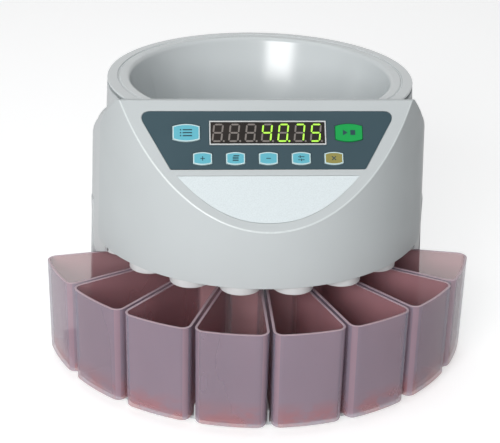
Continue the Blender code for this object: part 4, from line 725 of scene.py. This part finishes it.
def face_line(depth, height):
    """The (y, z) point at a height on the operator face, or on a plane that deep below it."""
    slope = math.tan(math.radians(FACE_ANGLE))
    drop = FACE_TOP_Z - height - depth / math.cos(math.radians(FACE_ANGLE))
    return (-FACE_TOP_Y - drop / slope, height)


def make_front_cover():
    """The barrel-shaped front of the head with the sloping face, a thin shell open behind."""
    shape = cone_between(HEAD_Z, OVER_FACE, 0, COVER_STEPS)
    slope = math.radians(FACE_ANGLE)
    normal = Vector((0, -math.sin(slope), math.cos(slope)))
    slice_off(shape, (0, -FACE_TOP_Y, FACE_TOP_Z), normal)
    face = max(shape.faces, key=lambda item: item.normal.dot(normal))
    lower = [edge for edge in face.edges if min(vert.co.z for vert in edge.verts) < OVER_FACE - 0.1]
    bmesh.ops.bevel(shape, geom=lower, offset=FACE_ROUNDING, segments=5, profile=0.5, affect="EDGES",
                    clamp_overlap=True, material=-1)
    cover = block("front_shell", shape)
    top, corner = seam_outline(0)
    profile = [(-REACH, UNDER_HEAD), (-REACH, FACE_TOP_Z), face_line(WALL, FACE_TOP_Z)] + top + corner
    profile += [(-SEAM_Y - SEAM_CORNER, UNDER_HEAD)]
    carve(cover, side_slab(profile), "INTERSECT")
    core = block("core", cone_between(UNDER_HEAD, OVER_FACE, WALL, COVER_STEPS))
    low, high = UNDER_HEAD - 4, OVER_FACE + 4
    behind = [face_line(WALL, low), face_line(WALL, high), (REACH, high), (REACH, low)]
    carve(core, side_slab(behind), "INTERSECT")
    merge(cover, core, "DIFFERENCE")
    # Two level shelves join the sloping face to the sides behind it
    shelf_top = HEAD_Z + 96.0
    inner, outer = 116.0, BODY_RADIUS - draft_at(shelf_top) - WALL / 2
    start, stop = (math.degrees(math.acos(reach / outer)) for reach in (FACE_TOP_Y, SEAM_Y))
    profile = [(inner, shelf_top - WALL), (outer, shelf_top - WALL), (outer, shelf_top), (inner, shelf_top)]
    for low_angle in (-90 - stop, -90 + start):
        carve(cover, turned(profile, True, 16, stop - start, low_angle), "UNION")
    floor, clear = -1.0, 8.0
    recess = slab(overlay_plan(GAP), floor, clear)
    add_in(recess, slab(shield_plan(GAP), floor, clear))
    carve(cover, recess, place=FACE)
    carve(cover, face_holes(GAP, -WALL - 4, clear), place=FACE)
    soften(cover, 0.35, 2)
    # The rounding along the face's lower edge gets a glossier finish, whose lighter colour is a painted
    # highlight
    for part in cover.data.polygons:
        spot = (STACK.inverted() @ part.center) / MM
        rounded = 0.1 < part.normal.z < 0.57 and part.normal.y < -0.2
        part.material_index = int(rounded and spot.xy.length > BODY_RADIUS - draft_at(spot.z) - 1.6)
    dress(cover, [BODY, PAINTED_EDGE_HIGHLIGHT], stands_for="front_cover")


def make_corner_webs():
    """The webs that close the corners between the cover and the hopper, just under the sides' top edges."""
    inner, outer = RIM_RADIUS + GAP, BODY_RADIUS - draft_at(FACE_TOP_Z) - WALL / 4
    low, high = FACE_TOP_Z - 40, OVER_FACE
    top = [face_line(WALL / 2, FACE_TOP_Z), face_line(WALL, FACE_TOP_Z)] + seam_outline(0)[0]
    band = [(y, z - 2 * GAP) for y, z in top] + [(y, z - 2 * GAP - WALL) for y, z in reversed(top)]
    ring, sweep = [(inner, low), (outer, low), (outer, high), (inner, high)], 27
    for name, start in (("left", -165), ("right", -42)):
        web = block("corner_web_" + name, turned(ring, True, 24, sweep, start))
        carve(web, side_slab(band), "INTERSECT")
        soften(web, 0.2, 2)
        dress(web, BODY)


make_upper_housing()
make_lower_housing()
make_front_cover()
make_corner_webs()


# Hopper

def make_hopper():
    """The coin bowl with its broad rim, cut straight along the operator face."""
    skirt = RIM_RADIUS - WALL - GAP
    flange = RIM_EDGE + WALL / 2
    under, floor, skirt_foot = 149.0, 153.4, 221.7
    outside = [(0, floor), (88.5, floor), (106.5, flange), (skirt - WALL, flange), (skirt - WALL, skirt_foot),
               (skirt, skirt_foot), (skirt, RIM_EDGE), (RIM_RADIUS - 1.8, RIM_EDGE),
               (RIM_RADIUS - 0.2, RIM_TOP - 1.9), (RIM_RADIUS, RIM_TOP - 1.1),
               (RIM_RADIUS - 0.4, RIM_TOP - 0.35), (RIM_RADIUS - 1.3, RIM_TOP), (114.4, RIM_TOP),
               (113.9, RIM_TOP - 1.0), (113.4, RIM_TOP - 1.1), (112.7, RIM_TOP - 0.4), (112.2, RIM_TOP),
               (0, RIM_TOP)]
    bowl = block("bowl", turned(outside))
    wall_front, rim_front, cavity_front = -65.0, -69.8, -62.5
    front = [(-REACH, under), (wall_front, under), (wall_front, RIM_EDGE), (rim_front, RIM_EDGE),
             (rim_front, OVER_RIM), (-REACH, OVER_RIM)]
    carve(bowl, side_slab(front))
    cavity = [(0, under), (86, under), (86, floor), (104, RIM_TOP - 3.6), (104.5, RIM_TOP - 2.2),
              (105.4, RIM_TOP - 0.9), (107, RIM_TOP), (107, OVER_RIM), (0, OVER_RIM)]
    inside = block("cavity", turned(cavity))
    low, high = 140, 240
    behind = [(cavity_front, low), (REACH, low), (REACH, high), (cavity_front, high)]
    carve(inside, side_slab(behind), "INTERSECT")
    merge(bowl, inside, "DIFFERENCE")
    soften(bowl, 0.8, 3, 40)
    dress(bowl, BOWL, stands_for="hopper_bowl")


def make_disc():
    """The feed disc with its round bumps, and the cap on its middle."""
    profile = [(0, 149.2), (4.3, 149.2), (4.3, 146.2), (12, 146.2), (12, 147.2), (91.0, 147.2), (91.5, 147.7),
               (91.5, 149.7), (91.0, 150.2), (0, 150.2)]
    disc = turned(profile)
    for index in range(6):
        bump = turned([(0, 149.6), (5, 149.6), (4.9, 150.6), (4.2, 151.1), (3, 151.35), (0, 151.4)], steps=32)
        turn = math.radians(60 * index)
        add_in(disc, bump, Matrix.Translation((60 * math.sin(turn), -60 * math.cos(turn), 0)))
    dress(block("turned_disc", disc), TURNED, "rotor", "feed_disc")
    cap = [(0, 150.5), (22, 150.5), (22, 153.2)]
    for step in range(1, 13):
        turn = math.pi / 2 * step / 12
        cap.append((22 * math.cos(turn), 153.75 + 9.75 * math.sin(turn)))
    item = block("disc_cap", turned(cap, steps=64))
    soften(item, 0.4, 2, 50)
    dress(item, DARK, "rotor", "disc_hub_cap")


make_hopper()
make_disc()


# Cups and spouts

def cup_plan(inset):
    """Plan of one cup drawn in from its outside: a narrow rear and large round front corners."""
    half = math.radians(PITCH / 2)
    side = 1.2 + inset
    radius = CUP_REACH - inset
    front = math.sqrt(radius ** 2 - side ** 2)
    rear = (CUP_START + inset - side * math.sin(half)) / math.cos(half)
    (fx, fy), (rx, ry) = [(length * math.sin(half) - side * math.cos(half),
                           -length * math.cos(half) - side * math.sin(half)) for length in (front, rear)]
    small, large = max(3 - inset, 0.8), 7 - inset
    outline = rounded_plan([(-rx, ry), (-fx, fy), (fx, fy), (rx, ry)], (small, large, large, small), 8)
    points = []
    for (ax, ay), (bx, by) in zip(outline, outline[1:] + outline[:1]):
        points.append((ax, ay))
        if abs(ax - bx) > 12 and max(ay, by) < -150:
            points += [(ax + (bx - ax) * step / 12, ay) for step in range(1, 12)]
    flat = math.sqrt(radius ** 2 - fx ** 2)
    bulge = [math.sqrt(radius ** 2 - min(abs(x), fx) ** 2) - flat if y < -150 else 0 for x, y in points]
    return [(x, y - out) for (x, y), out in zip(points, bulge)]


def make_cups():
    """Wedge-shaped cups with thin walls, a bright rim and rounded feet."""
    wall, foot, slope, lip = 2.0, 2.2, 0.6, 0.3
    top = FLOOR_Z + CUP_HEIGHT
    quarter = [math.radians(90 * step / 4) for step in range(5)]
    # Each level has its plan, its height and the rank of its finish: outside, inside or rim
    levels = [(cup_plan(slope + foot * (1 - math.sin(turn))), FLOOR_Z + foot * (1 - math.cos(turn)), 0)
              for turn in quarter]
    levels += [(cup_plan(0), top - lip, 0), (cup_plan(lip), top, 2), (cup_plan(wall - lip), top, 2),
               (cup_plan(wall), top - lip, 2)]
    levels += [(cup_plan(slope + wall * (2 - math.cos(turn))), FLOOR_Z + wall * (2 - math.sin(turn)), 1)
               for turn in quarter]
    for number, angle in enumerate(STATIONS, start=1):
        shape = lofted(levels)
        # The round front corners have a pinker, more opaque finish of their own: a painted highlight where
        # the light catches them
        for face in shape.faces:
            if face.material_index == 0 and 0.55 < abs(face.normal.x) < 0.93 and face.normal.y < 0:
                face.material_index = 3
        item = block(f"coin_cup_{number}", shape, STACK @ turn_by(angle))
        dress(item, [CUP_OUT, CUP_IN, CUP_RIM, CUP_CORNER_HIGHLIGHT], f"cup_{number}", f"cup_{number}", 40)


def make_spouts():
    """Round tubes that lead each coin down through the floor of the head."""
    for number, angle in enumerate(STATIONS, start=1):
        shape = bmesh.new()
        bmesh.ops.create_circle(shape, segments=64, radius=SPOUT_RADIUS)
        bmesh.ops.translate(shape, verts=shape.verts, vec=(0, -SPOUT_OUT, SPOUT_FOOT))
        rim = shape.edges[:]
        # Straight up first, then leaning back to the disc
        for dy, dz in ((0, 13.5), (6.9, 37.2)):
            grown = bmesh.ops.extrude_edge_only(shape, edges=rim)["geom"]
            rim = of_kind(grown, BMEdge)
            bmesh.ops.translate(shape, verts=of_kind(grown, BMVert), vec=(0, dy, dz))
        thicken(shape, 2.0)
        item = block(f"chute_{number}", shape, STACK @ turn_by(angle))
        soften(item, 0.9, 4, 50)
        dress(item, SPOUT, stands_for=f"spout_{number}")


make_cups()
make_spouts()


# Operator face

def make_face():
    """Film, bare plate, display frame and window."""
    film = block("slate_film", slab(overlay_plan(0), -0.7, 0.1), FACE)
    carve(film, face_holes(0, -5, 8), place=FACE)
    dress(film, SLATE, stands_for="control_overlay")
    plate = block("silver_plate", slab(shield_plan(0), -0.7, 0.1), FACE)
    dress(plate, SILVER, stands_for="trim_plate")
    bezel = block("window_frame", slab(display_plan(0.9), -WALL, 0.9), FACE)
    carve(bezel, slab(display_plan(0), -8, 8), place=FACE)
    soften(bezel, 0.25, 2)
    dress(bezel, FRAME, stands_for="display_bezel")
    pane = block("window_pane", slab(display_plan(-0.3), -0.95, 0.45), FACE)
    soften(pane, 0.1, 2)
    dress(pane, WINDOW, stands_for="display_window")


# The ends of a digit's seven bars, in steps across and up, and the bars of each numeral
SEGMENTS = {"a": ((0, 2), (1, 2)), "b": ((1, 2), (1, 1)), "c": ((1, 1), (1, 0)), "d": ((0, 0), (1, 0)),
            "e": ((0, 1), (0, 0)), "f": ((0, 2), (0, 1)), "g": ((0, 1), (1, 1))}
NUMERALS = {" ": "", "0": "abcdef", "4": "bcfg", "5": "acdfg", "7": "abc"}


def make_digits():
    """Seven slanted digits, the last four lit, a dot after each."""
    tall, wide, pitch, lean, stroke, apart = 6.5, 6.6, 12.3, 0.12, 1.25, 0.35
    back, front = 0.40, 0.48
    lit, dark = bmesh.new(), bmesh.new()
    for index, numeral in enumerate("   4075"):
        left = 2.1 - DISPLAY_WIDTH / 2 + pitch * index
        for name, (start, stop) in SEGMENTS.items():
            target = lit if name in NUMERALS[numeral] else dark
            first = Vector((start[0] * wide, (start[1] - 1) * tall))
            last = Vector((stop[0] * wide, (stop[1] - 1) * tall))
            along = (last - first).normalized()
            across = Vector((-along.y, along.x)) * stroke / 2
            first, last = first + along * apart, last - along * apart
            points = [first, first + along * stroke / 2 - across, last - along * stroke / 2 - across, last,
                      last - along * stroke / 2 + across, first + along * stroke / 2 + across]
            plan = [(left + point.x + point.y * lean, point.y - DISPLAY_DOWN) for point in points]
            add_in(target, slab(plan, back, front))
        dot = round_plan(0.75, 12, left + wide + 1.9 - tall * lean, -DISPLAY_DOWN - tall)
        add_in(lit if index == 4 else dark, slab(dot, back, front))
    for name, shape, finish in (("digits_lit", lit, LIT), ("digits_dark", dark, UNLIT)):
        dress(block(name, shape, FACE), finish)


def strokes(width, *lines):
    """Plan outlines of straight strokes of one width, each line given by its two ends."""
    plans = []
    for x0, y0, x1, y1 in lines:
        first, last = Vector((x0, y0)), Vector((x1, y1))
        along = (last - first).normalized()
        side = Vector((-along.y, along.x)) * width / 2
        plans.append([first - side, last - side, last + side, first + side])
    return plans


def key_marks(name):
    """Plain symbols for the keys, as plan outlines about the key's middle."""
    if name == "key_report":
        rows = (2.3, 0, -2.3)
        return strokes(0.9, *[(-2.6, y, 4.4, y) for y in rows]) + [box_plan(1.0, 1.0, -4.2, y) for y in rows]
    if name == "key_start":
        return [[(-4.6, -2.3), (-0.9, 0), (-4.6, 2.3)], box_plan(3.7, 3.9, 2.9, 0)]
    if name == "key_plus":
        return strokes(0.6, (-1.7, 0, 1.7, 0), (0, 0.3, 0, 1.7), (0, -1.7, 0, -0.3))
    if name == "key_minus":
        return strokes(0.6, (-1.7, 0, 1.7, 0))
    if name == "key_batch":
        return strokes(0.75, *[(-2.2, y, 2.2, y) for y in (-1.6, -0.35, 0.9)], (-1.6, 2.15, 2.8, 2.15))
    if name == "key_set":
        rails = strokes(0.6, (-2.4, -1.2, -0.5, -1.2), (0.9, -1.2, 2.4, -1.2), (-2.4, 1.2, -1.5, 1.2),
                        (-0.1, 1.2, 2.4, 1.2))
        return rails + [box_plan(0.9, 1.8, 0.2, -1.2), box_plan(0.9, 1.8, -0.8, 1.2)]
    return strokes(0.7, (-1.5, -1.5, 1.5, 1.5), (-1.5, 1.5, -0.25, 0.25), (0.25, -0.25, 1.5, -1.5))


def make_keys():
    """Barrel-shaped keys with a pale printed border and a plain symbol."""
    slope, print_width = 0.25, 0.75
    for name, x, down, width, height, finish, slot in KEYS:
        cap = slab(barrel_plan(width, height, 0), -2.0, KEY_TOP)
        top = [face for face in cap.faces if face.normal.z > 0.9]
        ring = bmesh.ops.inset_region(cap, faces=top, thickness=slope, depth=0.0, use_even_offset=True)
        for face in ring["faces"]:
            for vert in face.verts:
                if vert not in top[0].verts:
                    vert.co.z -= slope
        bmesh.ops.inset_region(cap, faces=top, thickness=print_width, depth=0.0, use_even_offset=True)
        for face in cap.faces:
            face.material_index = 1
        for face in top:
            face.material_index = 0
        # Under the cap: the flange that holds it in the face, the stem to its switch, and the neck between
        add_in(cap, slab(box_plan(width + 2.4, height * 0.74), -3.8, -2.8))
        add_in(cap, slab(round_plan(2, 16), -5.9, -3.3))
        add_in(cap, slab(barrel_plan(width, height, -0.1), -3.3, -1.9))
        place = FACE @ Matrix.Translation((x * MM, -down * MM, 0))
        item = block(f"cap_{name}", cap, place)
        dress(item, [finish, KEY_EDGE if finish is not GREEN else GREEN], name, name, 40)
        marks = bmesh.new()
        for plan in key_marks(name):
            add_in(marks, slab(plan, KEY_TOP - 0.05, KEY_TOP + 0.04))
        dress(block(f"mark_{name}", marks, place), INK, name)


make_face()
make_digits()
make_keys()


# Rear panel

def rear_place(x):
    """A place on the rear panel's outer face: local Y is up and local Z points out of the back."""
    low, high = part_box("rear_panel")
    return Matrix.Translation((x * MM, high.y, (low.z + high.z) / 2)) @ turn_by(180) @ turn_by(90, "X")


def make_rocker_marks():
    """A bar and a ring on the two halves of the power switch's rocker."""
    middle = rear_place(SWITCH_X) @ Matrix.Translation((0, 0, -4 * MM)) @ turn_by(-8, "X")
    # Each half of the rocker rises one millimetre in eleven
    half, rise = 6.0, 1 / 11
    low, high = -0.10, 0.05
    bar = slab(box_plan(0.9, 4.6), low, high)
    ring = turned([(1.6, low), (2.4, low), (2.4, high), (1.6, high)], True, 32)
    for name, shape, side in (("rocker_bar", bar, 1), ("rocker_ring", ring, -1)):
        lean = Matrix.Rotation(side * math.atan(rise), 4, "X")
        place = middle @ Matrix.Translation((0, side * half * MM, (4 + half * rise) * MM)) @ lean
        dress(block(name, shape, place), PAINT, "rocker")


def make_inlet_contacts():
    """Bright sleeves on the three blades of the mains inlet."""
    contacts = bmesh.new()
    for x, y in ((-7, -2), (0, 2), (7, -2)):
        add_in(contacts, slab(box_plan(2.1, 4.1, x, y), -15.9, -2.9))
    item = block("inlet_contacts", contacts, rear_place(INLET_X))
    soften(item, 0.3, 2)
    dress(item, STEEL)


def make_panel_screws():
    """Two pan-head screws with a cross recess that hold the rear panel."""
    head = turned([(0, -0.4), (2.6, -0.4), (2.6, 0.3), (2.4, 0.8), (1.7, 1.25), (0, 1.4)], steps=32)
    for number, x in enumerate((-43.0, 43.0), start=1):
        item = block(f"panel_screw_{number}", head.copy(), rear_place(x))
        for plan in (box_plan(0.7, 2.6), box_plan(2.6, 0.7)):
            carve(item, slab(plan, 0.5, 3), place=rear_place(x) @ turn_by(20 * number))
        soften(item, 0.08, 2)
        dress(item, STEEL)
    head.free()


make_rocker_marks()
make_inlet_contacts()
make_panel_screws()


# Finishes of the carried-over nodes

CORNERS = ("front_left", "front_right", "rear_left", "rear_right")
CARRIED = {BODY: ["base_plate", "chute_plate"], BOARD: ["key_board", "sensor_board", "power_board"],
           STEEL: ["sorting_ring", "gear_plate", "drive_motor", "disc_shaft"]
                  + ["base_screw_" + corner for corner in CORNERS],
           DARK: ["rear_panel", "power_inlet", "switch_case", "switch_rocker", "sweeper", "transformer",
                  "digit_display"],
           NYLON: ["drive_gear"], BRASS: ["motor_pinion", "bearing_block"],
           RUBBER: ["foot_" + corner for corner in CORNERS]}
for finish, names in CARRIED.items():
    for name in names:
        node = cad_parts[name]
        node.data.materials.clear()
        node.data.materials.append(finish)


# Room, light and camera

def sight(tree):
    """One where the camera sees a surface itself, in a mirror or through glass."""
    path = tree.nodes.new("ShaderNodeLightPath").outputs
    direct = maths(tree, "MAXIMUM", path["Is Camera Ray"], path["Is Glossy Ray"])
    return maths(tree, "MAXIMUM", direct, path["Is Transmission Ray"])


def make_room():
    """A plain pale floor that shows white to the camera and keeps the object's shadow."""
    half_width, floor_glow = 2500, 0.54
    shape = bmesh.new()
    bmesh.ops.create_grid(shape, x_segments=1, y_segments=1, size=half_width)
    floor = block("floor", shape, Matrix.Identity(4))
    finish, shader = finish_for("floor_paint", (0.87, 0.87, 0.87), 0.7)
    shader.inputs["Emission Color"].default_value = (1, 1, 1, 1)
    tree = finish.node_tree
    glow = tree.nodes.new("ShaderNodeMath")
    glow.operation = "MULTIPLY"
    glow.inputs[1].default_value = floor_glow
    tree.links.new(sight(tree), glow.inputs[0])
    tree.links.new(glow.outputs[0], shader.inputs["Emission Strength"])
    floor.data.materials.append(finish)
    world = bpy.data.worlds.new("studio")
    world.use_nodes = True
    nodes, links = world.node_tree.nodes, world.node_tree.links
    mix = nodes.new("ShaderNodeMixShader")
    links.new(sight(world.node_tree), mix.inputs["Fac"])
    # The first sky lights the object, the second is what the camera sees
    for socket, colour, strength in ((1, (0.95, 0.98, 1.0, 1), 0.16), (2, (1, 1, 1, 1), 1.0)):
        sky = nodes.new("ShaderNodeBackground")
        sky.inputs["Color"].default_value = colour
        sky.inputs["Strength"].default_value = strength
        links.new(sky.outputs[0], mix.inputs[socket])
    links.new(mix.outputs[0], nodes["World Output"].inputs["Surface"])
    bpy.context.scene.world = world


def aim(item, target):
    """Turns a lamp to a point."""
    item.rotation_euler = (Vector(target) - item.location).to_track_quat("-Z", "Y").to_euler()


def make_lights():
    """A large lamp in front, to the left, and a soft one above."""
    for name, spot, size, power in (("key_light", (-0.90, -2.10, 1.02), 1.1, 39.5),
                                    ("top_light", (-0.1, 0.2, 1.8), 1.4, 7.0)):
        lamp = bpy.data.lights.new(name, "AREA")
        lamp.size = size
        lamp.energy = power
        item = bpy.data.objects.new(name, lamp)
        item.location = spot
        aim(item, (0, 0, 0.12))
        bpy.context.scene.collection.objects.link(item)


def make_camera():
    """The photograph's viewpoint: from the front, a little to the left, and slightly rolled."""
    turn, rise, roll = math.radians(-4.241), math.radians(23.714), math.radians(1.40)
    back = Vector((math.sin(turn) * math.cos(rise), -math.cos(turn) * math.cos(rise), math.sin(rise)))
    level = Vector((math.cos(turn), math.sin(turn), 0))
    upright = back.cross(level)
    right = level * math.cos(roll) + upright * math.sin(roll)
    up = upright * math.cos(roll) - level * math.sin(roll)
    distance = 1.150
    eye = Vector((-5.148 * MM, STACK.translation.y, 99.216 * MM)) + back * distance
    lens = bpy.data.cameras.new("camera")
    lens.sensor_width = 36.0
    lens.lens = 98.27
    item = bpy.data.objects.new("camera", lens)
    item.matrix_world = Matrix.Translation(eye) @ Matrix((right, up, back)).transposed().to_4x4()
    bpy.context.scene.collection.objects.link(item)
    bpy.context.scene.camera = item


make_room()
make_lights()
make_camera()
bpy.context.scene.view_settings.view_transform = "Standard"
